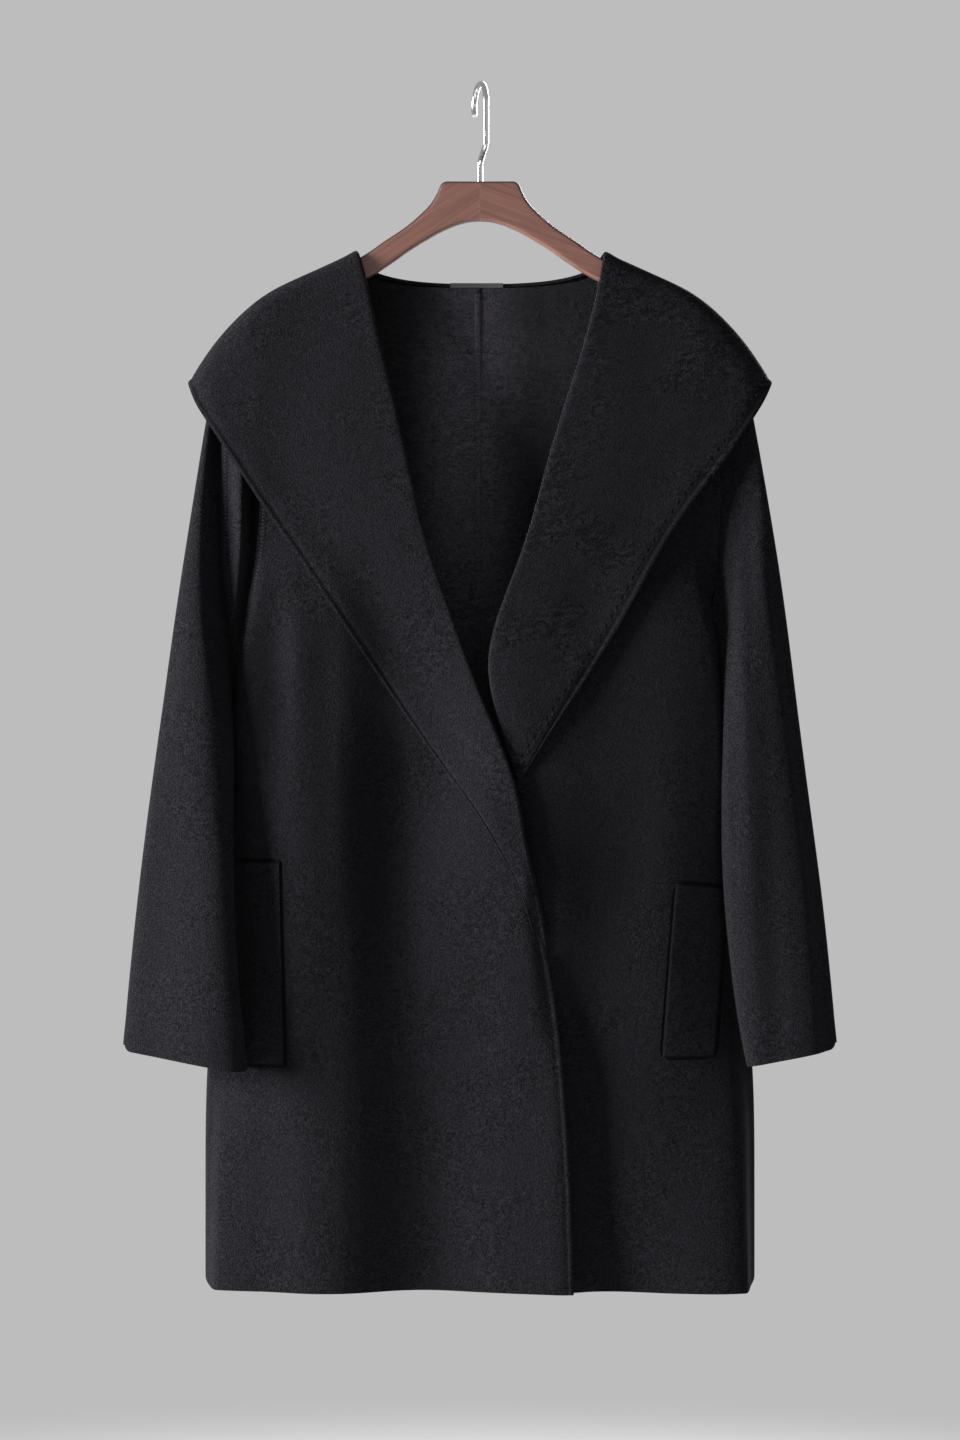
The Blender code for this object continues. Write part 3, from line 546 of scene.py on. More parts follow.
def even_line(edge, step):
    """Points at even steps along an edge: (place, the way along, the way inward)."""
    line = []
    start = 0.0
    for (a, way_a), (b, way_b) in zip(edge, edge[1:]):
        length = (b - a).length
        while start <= length:
            share = start / length
            line.append((a.lerp(b, share), (b - a).normalized(), way_a.lerp(way_b, share).normalized()))
            start += step
        start -= length
    return line


for node in SEWN:
    mesh = shells[node].data
    line = even_line(free_edges[node], STEP)
    nearby = KDTree(len(line))
    for index, (place, _, _) in enumerate(line):
        nearby.insert(place, index)
    nearby.balance()
    inside, along = [], []
    for vertex in mesh.vertices:
        place, index, distance = nearby.find(vertex.co)
        offset = (vertex.co - place).dot(line[index][1])
        inside.append(math.sqrt(max(0.0, distance**2 - offset**2)))
        along.append(index * STEP + offset)
    for name, values in (("from_edge", inside), ("along_edge", along)):
        mesh.attributes.new(name, "FLOAT", "POINT").data.foreach_set("value", values)
    print(node, "edge", len(line), "mm long")

# %% [markdown]
# ## Creases
#
# The panels carry the large folds. On them lie smaller ones, which hang from the shoulders and the pockets.
# Each is a soft valley or ridge along a line, and all layers of one side are moved by the same amount at the
# same place, so no layer cuts through another. They fade out towards the side seams and the shoulders. The
# sleeves have their own, beside the armholes. At the seams the edges are brought together, because in a sewn
# coat no light falls through a seam. Sizes are in millimetres.

# %% The creases, a row for each height
Crease = namedtuple("Crease", "z x left right height")  # its middle, its reach to each side, its height
CREASES = {
    "front": (
        # the long valley down the right front
        ((-390, -90, 48, 90, 0), (-500, -76, 54, 100, -15), (-585, -64, 62, 120, -25),
         (-690, -54, 72, 130, -27), (-794, -44, 80, 140, -28), (-899, -36, 90, 145, -30),
         (-1043, -28, 100, 150, -33)),
        # the ridge along the left side seam
        ((-400, 194, 120, 16, 0), (-470, 200, 110, 10, 17), (-585, 206, 116, 10, 19),
         (-660, 208, 114, 12, 14), (-760, 208, 130, 20, 9), (-900, 222, 130, 16, 14),
         (-1043, 229, 126, 10, 24)),
        # the ridge along the right side seam
        ((-400, -192, 14, 50, 0), (-460, -202, 10, 80, 9), (-520, -206, 10, 84, 12),
         (-600, -202, 16, 100, 14), (-700, -196, 22, 90, 7), (-860, -194, 30, 60, 3),
         (-1043, -196, 34, 60, 0)),
        # the flare of the right hem's corner
        ((-840, -220, 14, 60, 0), (-899, -223, 12, 66, 6), (-1043, -228, 12, 72, 12)),
        # a low ridge beside the right welt
        ((-440, -152, 26, 30, 0), (-500, -156, 30, 32, 4), (-690, -158, 34, 40, 4), (-1043, -156, 36, 44, 3)),
        # a dent under the right armhole
        ((-410, -178, 14, 18, 0), (-470, -176, 24, 18, -3), (-540, -174, 24, 18, -3),
         (-620, -176, 16, 20, 0)),
        # the flare of the left hem's corner
        ((-820, 226, 60, 12, 0), (-910, 228, 60, 11, 6), (-1043, 229, 60, 10, 5)),
        # a shallow valley down the left front
        ((-600, 100, 40, 90, 0), (-710, 104, 44, 95, -5), (-850, 110, 50, 100, -7),
         (-1043, 124, 60, 105, -10)),
        # a low ridge beside the left welt
        ((-500, 168, 30, 40, 0), (-660, 160, 30, 36, 2), (-820, 152, 30, 30, 0)),
        # a faint one beside the right front's edge
        ((-700, 20, 26, 24, 0), (-800, 26, 28, 24, 1.6), (-930, 34, 28, 24, 0)),
    ),
    "back": (
        # two valleys from the shoulder blades
        ((-320, 16, 30, 26, 0), (-480, 24, 40, 34, -5), (-760, 36, 60, 50, -9), (-1043, 44, 80, 64, -13)),
        ((-380, -96, 30, 40, 0), (-560, -104, 44, 52, -5), (-820, -110, 60, 70, -9),
         (-1043, -118, 70, 76, -11)),
        # a third one under the left armhole
        ((-520, 130, 24, 30, 0), (-700, 136, 30, 40, -4), (-1043, 150, 40, 50, -7)),
        # a low ridge beside the centre seam
        ((-600, -28, 20, 24, 0), (-800, -34, 28, 26, 3), (-1043, -40, 34, 30, 4)),
        # a dent under the left shoulder
        ((-340, 140, 30, 20, 0), (-400, 128, 30, 22, -4), (-470, 110, 30, 24, 0)),
    ),
    "sleeve_right": (
        # the fold beside the armhole
        ((-320, -197, 9, 30, 0), (-350, -197, 9, 30, -12), (-400, -199, 8, 30, -12), (-440, -205, 6, 20, -9),
         (-485, -211, 4, 12, -4), (-510, -213, 4, 10, 0)),
        # the sleeve's own valley
        ((-230, -228, 14, 5, 0), (-300, -227, 16, 5, -8), (-411, -227, 16, 5, -10), (-440, -224, 18, 5, -10),
         (-465, -221, 20, 5, -9), (-500, -216, 20, 6, -8), (-560, -213, 12, 6, -4), (-620, -212, 14, 6, 0)),
        # the ridge between the two
        ((-290, -206, 16, 10, 0), (-330, -206, 16, 10, 7), (-411, -206, 15, 9, 7), (-440, -208, 12, 7, 5.5),
         (-470, -210, 9, 5, 3.5), (-505, -211, 6, 4, 0)),
        # the outer part, which stands up below the elbow
        ((-440, -236, 30, 12, 0), (-520, -226, 44, 12, 7), (-585, -219, 56, 10, 11), (-640, -216, 62, 12, 12),
         (-690, -210, 74, 11, 17), (-794, -208, 84, 10, 20), (-860, -208, 84, 10, 20)),
    ),
    "sleeve_left": (
        # the fold beside the armhole
        ((-270, 203, 5, 20, 0), (-330, 203, 6, 26, -9), (-372, 205, 6, 14, -8), (-430, 208, 5, 8, -4),
         (-480, 210, 4, 6, 0)),
        # a low ridge outside of it
        ((-380, 222, 12, 30, 0), (-450, 225, 12, 32, 3), (-560, 228, 12, 36, 4), (-700, 236, 20, 44, 4),
         (-860, 246, 26, 46, 4)),
        # another along the inner edge
        ((-400, 206, 8, 30, 0), (-460, 208, 10, 34, 6), (-560, 212, 14, 38, 8), (-860, 222, 24, 40, 8)),
        # a broad one along the outer part
        ((-360, 238, 40, 12, 0), (-480, 252, 42, 12, 5), (-700, 278, 46, 14, 6), (-860, 288, 48, 16, 6)),
    ),
    "under_right": (
        ((-330, -240, 24, 26, 0), (-500, -246, 26, 28, -5), (-860, -254, 30, 30, -6)),
    ),
    "under_left": (
        ((-340, 250, 20, 26, 0), (-520, 254, 24, 28, -5), (-860, 266, 26, 30, -6)),
    ),
}

# %% The lines at which the creases end
SIDE_Z = (-1043, -900, -850, -780, -700, -600, -530, -480, -440, -400, -350, -300)  # the side seams
SIDE_X = (239, 239, 237, 231, 226, 219, 213, 208, 200, 193, 190, 191)
OUTER_Z = (-840, -700, -600, -530, -480, -440, -400, -350, -300, -250)  # the sleeve's outer fold
OUTER_X = (306, 295, 282, 273, 266, 260, 254, 247, 239, 229)
EDGE_Z = (-1043, -979, -890, -832, -780, -748, -722)  # the right front's free edge
EDGE_X = (80.5, 79, 74.5, 69.5, 64, 61, 57)
NECK_X = 106  # where the shoulder's slope begins
SHOULDER_Z = -146.0
SHOULDER_SLOPE = 0.484
HEM_Z, CUFF_Z = -1043.0, -836.0


def ease(value):
    value = np.clip(value, 0, 1)
    return value * value * (3 - 2 * value)


def bell(value):
    return np.exp(-(value**2))


def points_of(mesh):
    """The mesh's points in millimetres, as columns x, y, z."""
    flat = np.empty(len(mesh.vertices) * 3)
    mesh.vertices.foreach_get("co", flat)
    return flat.reshape(-1, 3) / MM


def kept(mesh, name):
    """A kept distance of each point, in millimetres."""
    values = np.empty(len(mesh.vertices))
    mesh.attributes[name].data.foreach_get("value", values)
    return values / MM


def crease_height(where, x, z):
    """How far the cloth of one part of the coat stands out at (x, z)."""
    total = np.zeros(len(x))
    for rows in CREASES[where]:
        crease = Crease(*zip(*rows[::-1]))
        middle, left, right, height = (np.interp(z, crease.z, column) for column in crease[1:])
        total += height * ease(1 - np.abs(x - middle) / np.where(x < middle, left, right))
    return total


def waves(x, z, shift):
    """The slow unevenness of cloth that hangs."""
    slow = 0.8 * np.sin(x / 31 + z / 140 + shift) * np.sin(z / 83 + 0.7 * shift)
    return slow + 0.35 * np.sin(x / 17 - z / 61 + 2 * shift)


def past_side(x, z):
    """How far outside of its side seam a point lies."""
    return np.abs(x) - np.interp(z, SIDE_Z, SIDE_X)


def past_edge(x, z):
    """How far a point lies past the right front's free edge."""
    return x - np.interp(z, EDGE_Z, EDGE_X)


def panel_height(where, x, z):
    """The creases and waves of a front or a back, which fade out at its side seam and its shoulder."""
    below = SHOULDER_Z - SHOULDER_SLOPE * (np.abs(x) - NECK_X).clip(0) - z
    height = crease_height(where, x, z) + waves(x, z, 1.0 if where == "back" else -1.0)
    return height * ease(-past_side(x, z) / 9) * ease((below - 20) / 90)


# %% Move the panels
def rounded_foot(x, z):
    """How far the right front's edge rounds away at the foot of its lapel."""
    return 4.5 * ease((past_edge(x, z) + 20) / 16) * ease((-640 - z) / 60) * ease((z + 860) / 90)


def beside_sleeve(z):
    """1 where the body and the sleeves hang close together, above the pockets."""
    return ease((z + 650) / 60) * ease((-455 - z) / 30)


def round_corner(z, past, radius, foot):
    """Lifts the corner of a hem or a cuff along an arc, by how far each point lies past its start."""
    past = past.clip(0, radius)
    z += (radius - np.sqrt(radius**2 - past**2)) * ease(1 - (z - foot) / 30)


def move_body(node, x, y, z):
    """Moves the points of a front, a back or a welt. Of a welt, one millimetre stands above the cloth."""
    if "welt" in node:
        y += 1.5
    side, where = (1, "back") if node.startswith("back") else (-1, "front")
    height = panel_height(where, x, z)
    past = past_edge(x, z)
    if node == "front_left":  # it sinks behind the other front's edge
        height -= 5 * bell((past - 12) / 20) * ease((-700 - z) / 80)
    if node == "front_right":
        height += 3 * bell(past / 24) * ease((-800 - z) / 80) - rounded_foot(x, z)
    y += side * height
    outside = past_side(x, z)
    x += np.sign(x) * 2.6 * beside_sleeve(z) * ease((np.abs(x) - 196) / 12)
    y += side * -0.22 * ease((outside + 5) / 4)  # the side seam is closed
    round_corner(z, outside + 10, 10, HEM_Z)


def move_collar(node, x, y, z, mesh):
    """The collar follows the cloth under it. Its foot sinks in, its edge lifts, its back is drawn in."""
    inside = kept(mesh, "from_edge")
    behind = ease(y / 14 + 0.5)
    front = -panel_height("front", x, z)
    y += front * (1 - behind) + panel_height("back", x, z) * behind
    foot = -775 if node == "collar_right" else -600
    y += 5.5 * ease((-690 - z) / 70)
    if node == "collar_right":
        y += rounded_foot(x, z)
        x -= 1.8 * ease((-670 - z) / 70) * ease((x - 30) / 20)
    y -= 4.0 * bell(inside / 22) * ease((z - foot) / 130) * (1 - behind) * ease((252 - np.abs(x)) / 30)
    x -= np.sign(x) * 9 * ease((np.abs(x) - 150) / 80) * ease(y / 16)


def move_sleeve(node, x, y, z):
    """A top sleeve's inner edge is tucked behind the front, from the armhole to the elbow."""
    hand = node.split("_")[-1]
    side, where = (-1, "sleeve_") if "top" in node else (1, "under_")
    beside = np.abs(x)
    away = ease((np.interp(z, OUTER_Z, OUTER_X) - beside - 2) / 14)
    height = crease_height(where + hand, x, z) + 0.7 * waves(x, z, 2.0 * side) * ease((beside - 212) / 12)
    y += side * away * height
    tucked = ease((7 - past_side(x, z)) / 8) * ease((-320 - z) / 30) * ease((z + 490) / 30)
    x -= np.sign(x) * 1.6 * beside_sleeve(z) * ease((226 - beside) / 12)
    if "top" in node:
        x -= np.sign(x) * 7 * tucked
    round_corner(z, beside - 300, 5, CUFF_Z)


for node, shell in shells.items():
    points = points_of(shell.data)
    x, y, z = points[:, 0], points[:, 1], points[:, 2]
    if node.startswith("sleeve"):
        move_sleeve(node, x, y, z)
    elif node.startswith("collar"):
        move_collar(node, x, y, z, shell.data)
    else:
        move_body(node, x, y, z)
    shell.data.vertices.foreach_set("co", (points * MM).ravel())
    shell.data.update()
print(sum(len(rows) for rows in CREASES.values()), "creases")

# %% [markdown]
# Around each welt the cloth is drawn in by the seam. The points of the front and of the welt keep their
# distance from the welt's outline, less than BASE inside it and more than BASE outside. The wool's material
# presses a line along it, with painted shade. A mesh without this distance reads as 0, far from any outline.

# %% Keep the distance from the welts' outlines
Spot = namedtuple("Spot", "x z")
WELTS = {
    "right": (Spot(-216, -672), Spot(-171.2, -672), Spot(-167.1, -848), Spot(-212, -848)),
    "left": (Spot(168.2, -690), Spot(215, -695), Spot(203, -841), Spot(156.2, -841)),
}
FARTHEST = 60.0


def outline_distance(corners, x, z):
    """The distance in the picture's plane from a closed outline, in millimetres, less than 0 inside."""
    nearest = np.full(len(x), FARTHEST)
    inside = np.ones(len(x), dtype=bool)
    for a, b in zip(corners, corners[1:] + corners[:1]):
        way_x, way_z = b.x - a.x, b.z - a.z
        share = np.clip(((x - a.x) * way_x + (z - a.z) * way_z) / (way_x**2 + way_z**2), 0, 1)
        nearest = np.minimum(nearest, np.hypot(x - a.x - share * way_x, z - a.z - share * way_z))
        inside &= (x - a.x) * way_z - (z - a.z) * way_x > 0
    return np.where(inside, -nearest, nearest)


for hand, corners in WELTS.items():
    for node in ("front_" + hand, "pocket_welt_" + hand):
        mesh = shells[node].data
        points = points_of(mesh)
        from_welt = outline_distance(corners, points[:, 0], points[:, 2]) * MM + BASE
        mesh.attributes.new("from_welt", "FLOAT", "POINT").data.foreach_set("value", from_welt)
        print(node, "has", int((from_welt < BASE).sum()), "points inside the welt's outline")

# %% [markdown]
# ## Stitches
#
# The threads of the pick stitches are small pieces, half sunk in the surface. The roll of the left lapel and
# both edges of the right armhole are oversewn with slanted stitches, three to four millimetres apart.

# %% Stitches and their threads
THREAD = 0.6  # radius, mm
RAISED = 0.1  # of a thread's middle above the surface, mm
PICK_LONG, OVER_LONG = 1.5, 2.4  # half lengths of the two kinds of stitch, mm


def add_stitch(form, shell, near, way, half_long):
    """One stitch: a small rounded bar, half sunk in the surface nearest to a place."""
    _, place, normal, _ = shell.closest_point_on_mesh(near)
    way = (way - normal * way.dot(normal)).normalized()
    turn = Matrix((way, normal.cross(way), normal)).transposed().to_4x4()
    size = Matrix.Diagonal((half_long * MM, THREAD * MM, THREAD * MM, 1))
    matrix = Matrix.Translation(place + normal * RAISED * MM) @ turn @ size
    bmesh.ops.create_icosphere(form, subdivisions=1, radius=1, matrix=matrix)


def finish_stitches(form, name, material):
    piece = piece_of(form, name)
    piece.data.shade_smooth()
    piece.data.materials.append(material)
    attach(piece, "root")
    print(name, len(piece.data.polygons), "faces")


# The thread is drawn from the cloth itself: twisted wool. On the roll it is brushed and a little lighter.
threads = {}
for name, colour in (("wool_thread", "19181c"), ("brushed_wool_thread", "201f24")):
    settings = {"Base Color": linear(colour), "Roughness": 0.85, "Specular IOR Level": 0.1}
    threads[name] = new_material(name, settings)[0]

# %% Sew the left lapel's edge
form = bmesh.new()
for place, way, inward in even_line(free_edges["collar_left"], STITCH_GAP)[1:-1]:
    add_stitch(form, shells["collar_left"], place + inward * STITCH_INSIDE, way, PICK_LONG)
finish_stitches(form, "collar_left_pick_stitches", threads["wool_thread"])

# %% Sew the roll and the armhole
OVERSEWN = {  # by the piece, the way a stitch leans and the gap between two
    ("collar_left", (0.7, 0.35), 3.8): (
        Spot(108.5, -146), Spot(103, -181), Spot(93, -222), Spot(76, -275), Spot(58, -333), Spot(41, -400)),
    ("front_right", (0.9, 0.75), 3.1): (
        Spot(-186, -366), Spot(-188, -400), Spot(-195, -440), Spot(-202, -478), Spot(-205, -500)),
    ("sleeve_top_right", (0.9, 0.6), 3.3): (
        Spot(-220, -300), Spot(-220, -411), Spot(-217, -437), Spot(-213.5, -462)),
}
FORWARD = -200 * MM  # the y of a place in front of the coat
BESIDE = 12 * MM  # from the roll, where the lapel lies level
ROLL_DEPTH = 8 * MM
SEARCH_STEP = 0.5 * MM
SEARCH = range(-16, 24)  # steps to each side of the drawn line


def seen_from_front(shell, place):
    found, near, _, _ = shell.ray_cast(Vector((place.x, FORWARD, place.z)), Vector((0, 1, 0)))
    return near if found else None


def roll_edge(shell, place):
    """The first place of the lapel's roll that is seen from the front and no deeper than the roll."""
    level = seen_from_front(shell, place + Vector((BESIDE, 0, 0)))
    for step in SEARCH:
        near = seen_from_front(shell, place + Vector((step * SEARCH_STEP, 0, 0)))
        if near and level and near.y < level.y + ROLL_DEPTH:
            return near + Vector((MM, 0, 0))
    return None


for (node, slant, gap), rows in OVERSEWN.items():
    form = bmesh.new()
    edge = [(Vector((row.x, 0, row.z)) * MM, Vector((1, 0, 0))) for row in rows]
    look = roll_edge if node == "collar_left" else seen_from_front
    for place, way, _ in even_line(edge, gap * MM):
        near = look(shells[node], place)
        if near:
            add_stitch(form, shells[node], near, way + Vector((slant[0], 0, slant[1])), OVER_LONG)
    material = threads["brushed_wool_thread" if node == "collar_left" else "wool_thread"]
    finish_stitches(form, node + "_over_stitches", material)

# %% [markdown]
# ## The centre back seam
#
# Inside the neck shows the seam that joins the back's halves: a narrow felled band of the same wool. It is a
# grid laid on the inner face of the back, given a thickness. It also closes the hair-wide gap between the
# halves, through which light would fall.

# %% Lay a band on the inside of the back
TOP_Z, FOOT_Z = -171.0, -1041.0
BAND_LOW_X, BAND_HIGH_X = -4.4, 1.2
BAND_THICK = 0.4
CLEAR, CROWN = 0.5, 0.9  # how far its edges and its middle stand off the back
MEASURE_X, MEASURE_Z = -0.6, -180  # the back is measured no nearer to its centre and its top edge


def inside_of(shell, x, z):
    """Where a line from the middle of the coat towards the back meets a shell."""
    found, place, _, _ = shell.ray_cast(Vector((x * MM, 0, z * MM)), Vector((0, 1, 0)))
    return place.y / MM if found else None


def on_back(u, v):
    """A place on the band, by its shares across and up."""
    x = BAND_LOW_X + (BAND_HIGH_X - BAND_LOW_X) * u
    z = FOOT_Z + (TOP_Z - FOOT_Z) * v
    inside = inside_of(shells["back_right"], min(x, MEASURE_X), min(z, MEASURE_Z))
    return x, inside - CLEAR - CROWN * math.sqrt(max(0.0, 1 - (2 * u - 1) ** 2)), z


form = bmesh.new()
bmesh.ops.create_grid(form, x_segments=6, y_segments=120, size=0.5)
for vert in form.verts:
    vert.co = Vector(on_back(vert.co.x + 0.5, vert.co.y + 0.5)) * MM
bmesh.ops.solidify(form, geom=form.faces[:], thickness=BAND_THICK * MM)
bmesh.ops.recalc_face_normals(form, faces=form.faces)
centre_band = piece_of(form, "centre_back_band")
centre_band.data.shade_smooth()
centre_band.data.materials.append(inner_wool)
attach(centre_band, "root")
print("centre back band:", len(centre_band.data.polygons), "faces")

# %% [markdown]
# ## The hanger and its hook
#
# The hanger is made of two pieces of lacquered walnut, which are glued at the centre. Each is cut from a
# board 11.6 mm thick, and its edges are rounded with a router. So each half is one outline, drawn out and
# bevelled. The hook is a 5 mm chromed wire, bent round a former, and is made as one curve with a round bevel.

# %% The walnut
GRAIN = 1.6 * MM
GRAIN_LENGTH = 60 * MM
WOOD_TONE, FIGURE_TONE, CLOUD_TONE = 0.29, 0.32, 0.4  # the board's, the grain's, the slow changes'
PAINTED_SHADE_START, PAINTED_SHADE_END = 5.3 * MM, 5.79 * MM  # where the painted shade on the upper edges lies, as depth from the board's middle
PORE_RELIEF = 0.1 * MM


def make_walnut(name, lean):
    """Reddish walnut under a thin lacquer. Its grain leans by lean degrees from the horizontal."""
    material, tree, shader = new_material(
        name, {"Roughness": 0.42, "IOR": 1.5, "Coat Weight": 0.12, "Coat Roughness": 0.3}
    )
    place = add_node(tree, "ShaderNodeTexCoord").outputs["Object"]
    turn, stretch = (0, math.radians(lean), 0), (GRAIN_LENGTH / GRAIN, 1, 1)
    along = add_node(
        tree, "ShaderNodeMapping", {"vector_type": "TEXTURE", "Rotation": turn, "Scale": stretch},
        {"Vector": place},
    ).outputs["Vector"]
    grain = noise_value(tree, along, GRAIN, {"Detail": 4.0, "Distortion": 0.3})
    cloud = noise_value(tree, along, 8 * GRAIN)
    pores = noise_value(tree, along, 0.4 * GRAIN)
    figure = maths(tree, "MULTIPLY", remap(tree, grain, 0.25, 0.75), FIGURE_TONE)
    figure = maths(tree, "ADD", figure, WOOD_TONE)
    tone = maths(tree, "ADD", figure, maths(tree, "MULTIPLY", cloud, CLOUD_TONE))
    depth = add_node(tree, "ShaderNodeSeparateXYZ", {}, {"Vector": place}).outputs["Y"]
    # Painted shade: the narrow upper edges of the arms, which face up, are drawn nearly black, and their flat
    # faces are not.
    edge = remap(tree, maths(tree, "ABSOLUTE", depth, 0.0), PAINTED_SHADE_START, PAINTED_SHADE_END, 1.0, 0.0)
    upward = add_node(tree, "ShaderNodeNewGeometry").outputs["Normal"]
    upward = add_node(tree, "ShaderNodeSeparateXYZ", {}, {"Vector": upward}).outputs["Z"]
    edge = maths(tree, "MULTIPLY", edge, remap(tree, upward, 0.0, 0.2))
    tone = maths(tree, "MULTIPLY", tone, maths(tree, "SUBTRACT", 1.0, edge))
    tree.links.new(mixed(tree, tone, "1d0c08", "67443a"), shader.inputs["Base Color"])
    bump = add_node(tree, "ShaderNodeBump", {"Strength": 0.25, "Distance": PORE_RELIEF}, {"Height": pores})
    tree.links.new(bump.outputs["Normal"], shader.inputs["Normal"])
    return material


# %% The hanger's halves
HANGER_ROWS = (  # (x and z of the upper edge, x and z of the lower edge), from the joint out to the tip
    (0.02, -82.7, 0.02, -116.6),
    (12, -82.7, 10, -117.5),
    (23, -82.7, 19, -119.8),
    (30, -82.9, 24, -121.7),
    (34, -85.6, 28.5, -123.6),
    (37.2, -92.6, 34, -126.2),
    (41.8, -100.6, 40, -129.4),
    (48.7, -108.5, 47, -133.5),
    (63.5, -121.5, 60, -141.5),
    (82, -134, 76, -152.8),
    (103.5, -148.4, 96, -165.4),
    (136, -164.2, 127, -180.6),
    (163, -177.2, 156, -194.6),
    (171, -181.4, 165, -198.8),
    (175.6, -186, 170.5, -200.2),
    (177.8, -190.5, 175, -198.4),
)
HALF_THICK = 5.8
WOOD_EDGE = 2.6
WOOD_ANGLE = math.radians(60)  # edges sharper than this are rounded
STEPS = 5


def smooth_row(share):
    """The row at a share of the arm, on a Catmull-Rom line through the table."""
    last = len(HANGER_ROWS) - 1
    k = min(int(share * last), last - 1)
    t = share * last - k
    a, b, c, d = (Vector(HANGER_ROWS[min(max(k + shift, 0), last)]) for shift in (-1, 0, 1, 2))
    return 0.5 * (2 * b + (c - a) * t + (2 * a - 5 * b + 4 * c - d) * t**2 + (3 * b - a - 3 * c + d) * t**3)


def make_half(name, side, material):
    """A grid along the arm, drawn out to the board's thickness, its long edges rounded."""
    form = bmesh.new()
    bmesh.ops.create_grid(form, x_segments=(len(HANGER_ROWS) - 1) * STEPS, y_segments=4, size=0.5)
    for vert in form.verts:
        top_x, top_z, low_x, low_z = smooth_row(vert.co.x + 0.5)
        up = vert.co.y + 0.5
        x, z = low_x + (top_x - low_x) * up, low_z + (top_z - low_z) * up
        vert.co = Vector((side * x, -HALF_THICK, z)) * MM
    drawn = bmesh.ops.extrude_face_region(form, geom=form.faces[:])
    moved = [item for item in drawn["geom"] if isinstance(item, bmesh.types.BMVert)]
    bmesh.ops.translate(form, verts=moved, vec=(0, 2 * HALF_THICK * MM, 0))
    bmesh.ops.recalc_face_normals(form, faces=form.faces)
    long_edges = [
        edge for edge in form.edges
        if edge.calc_face_angle(0) > WOOD_ANGLE
        and abs(edge.verts[0].co.y - edge.verts[1].co.y) < MM
        and not all(abs(vert.co.x) < 0.1 * MM for vert in edge.verts)
    ]
    bmesh.ops.bevel(
        form, geom=long_edges, offset=WOOD_EDGE * MM, affect="EDGES", segments=5, profile=0.5, material=-1
    )
    piece = piece_of(form, name)
    piece.data.shade_smooth()
    piece.data.set_sharp_from_angle(angle=math.radians(40))
    piece.data.materials.append(material)
    return piece


for node, side, lean in (("hanger_right", -1, -34), ("hanger_left", 1, 20)):
    half = make_half(node + "_walnut", side, make_walnut(node + "_walnut", lean))
    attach(half, "root")
    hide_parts(node)
    print(half.name, len(half.data.polygons), "faces")

# %% The hook's route
WIRE = 2.5  # radius
BEND_INSIDE = 15.0
HOOK_TURN = math.radians(17)
FOOT, JOG_LOW, JOG_HIGH, SHANK_TOP = -82.4, -68.0, -50.0, -27.0
END_ANGLE = math.radians(205)
JOG_STEPS, BEND_STEPS = 24, 48


def hook_route():
    """(forward, height) of the wire's middle: up from the hanger, forward, and back over the seat."""
    bend = BEND_INSIDE + WIRE
    route = [(0, FOOT), (0, JOG_LOW)]
    for k in range(1, JOG_STEPS):
        share = k / JOG_STEPS
        route.append((bend * share * share * (3 - 2 * share), JOG_LOW + (JOG_HIGH - JOG_LOW) * share))
    route += [(bend, JOG_HIGH), (bend, SHANK_TOP)]
    for k in range(BEND_STEPS + 1):
        angle = END_ANGLE * k / BEND_STEPS
        route.append((bend * math.cos(angle), -BEND_INSIDE + bend * math.sin(angle)))
    return route


# %% The chrome
# Chrome is a bright, slightly cool mirror. Fine polishing marks keep it from looking like glass.
POLISH = 0.6 * MM
chrome, tree, shader = new_material("polished_chrome", {"Base Color": linear("b4b6ba"), "Metallic": 1.0})
place = add_node(tree, "ShaderNodeTexCoord").outputs["Object"]
marks = noise_value(tree, place, POLISH)
tree.links.new(remap(tree, marks, 0.3, 0.7, 0.08, 0.2), shader.inputs["Roughness"])

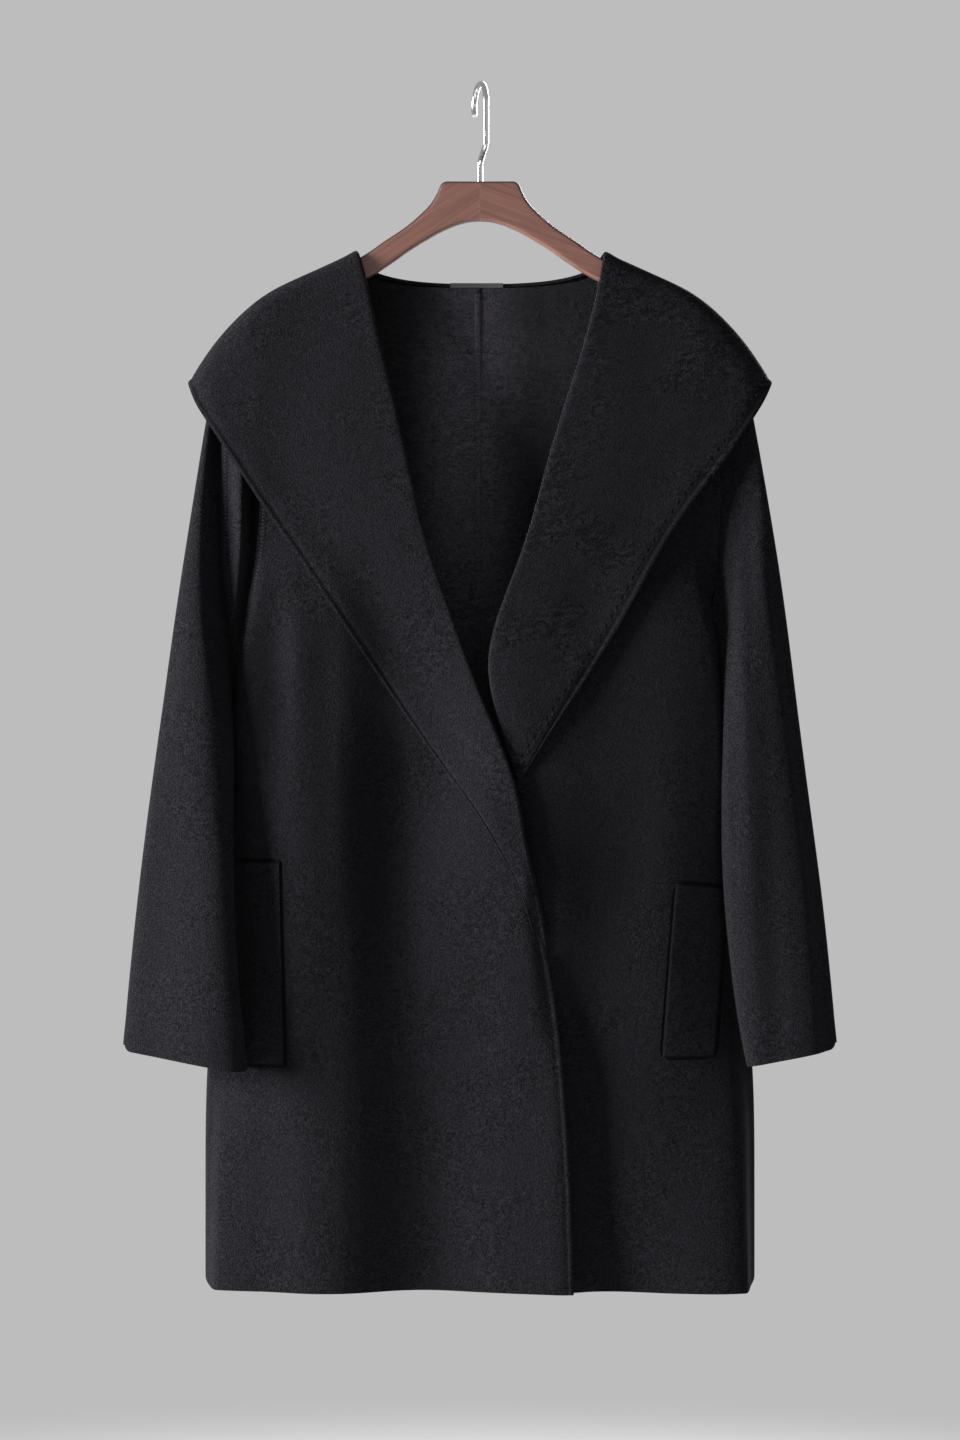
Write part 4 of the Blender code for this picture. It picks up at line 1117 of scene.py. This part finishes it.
# %% Bend the wire
route = hook_route()
curve = bpy.data.curves.new("hook_line", "CURVE")
curve.dimensions = "3D"
curve.bevel_depth = WIRE * MM
curve.bevel_resolution = 6
curve.use_fill_caps = True
spline = curve.splines.new("POLY")
spline.points.add(len(route) - 1)
for point, (forward, height) in zip(spline.points, route):
    point.co = (forward * math.sin(HOOK_TURN) * MM, -forward * math.cos(HOOK_TURN) * MM, height * MM, 1)
line = bpy.data.objects.new("hook_line", curve)
bpy.context.scene.collection.objects.link(line)
wire = bpy.data.meshes.new_from_object(line.evaluated_get(bpy.context.evaluated_depsgraph_get()))
bpy.data.objects.remove(line)
wire.name = "hook_wire"
wire.shade_smooth()
wire.set_sharp_from_angle(angle=math.radians(50))
wire.materials.clear()
wire.materials.append(chrome)
hook = bpy.data.objects.new("hook_wire", wire)
bpy.context.scene.collection.objects.link(hook)
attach(hook, "root")
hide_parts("hook")
print("hook:", len(wire.polygons), "faces")

# %% [markdown]
# ## The label
#
# At the back neck lies a blank strip of grey twill ribbon. Its solid has the right shape already, so it keeps
# it and only gets a woven material: fine diagonal ribs, half a millimetre apart.

# %% The label's ribbon
RIB = 0.5 * MM
RIB_RELIEF = 0.1 * MM
WAVE_PERIOD = 0.314  # of a wave texture's bands at scale 1
ribbon, tree, shader = new_material("twill_ribbon", {"Roughness": 0.6})
place = add_node(tree, "ShaderNodeTexCoord").outputs["Object"]
slant = add_node(tree, "ShaderNodeMapping", {"Rotation": (0, math.radians(45), 0)}, {"Vector": place})
ribs = add_node(
    tree, "ShaderNodeTexWave", {"wave_type": "BANDS", "bands_direction": "X", "Scale": WAVE_PERIOD / RIB},
    {"Vector": slant.outputs["Vector"]},
).outputs["Fac"]
tree.links.new(mixed(tree, ribs, "1c1c1e", "29292c"), shader.inputs["Base Color"])
rise = add_node(tree, "ShaderNodeBump", {"Strength": 0.4, "Distance": RIB_RELIEF}, {"Height": ribs})
tree.links.new(rise.outputs["Normal"], shader.inputs["Normal"])
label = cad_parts["neck_label"]
label.material_slots[0].material = ribbon
print(label.name, "wears", ribbon.name)

# %% [markdown]
# ## The cut
#
# Every cloth piece is flat goods: it was cut from a bolt and hangs from the hanger. Only the record for a cut
# is set up here, with the width and length of the cut, in metres, and the area of cloth in it.

Cut = namedtuple("Cut", "width length area rests_on with_pieces")
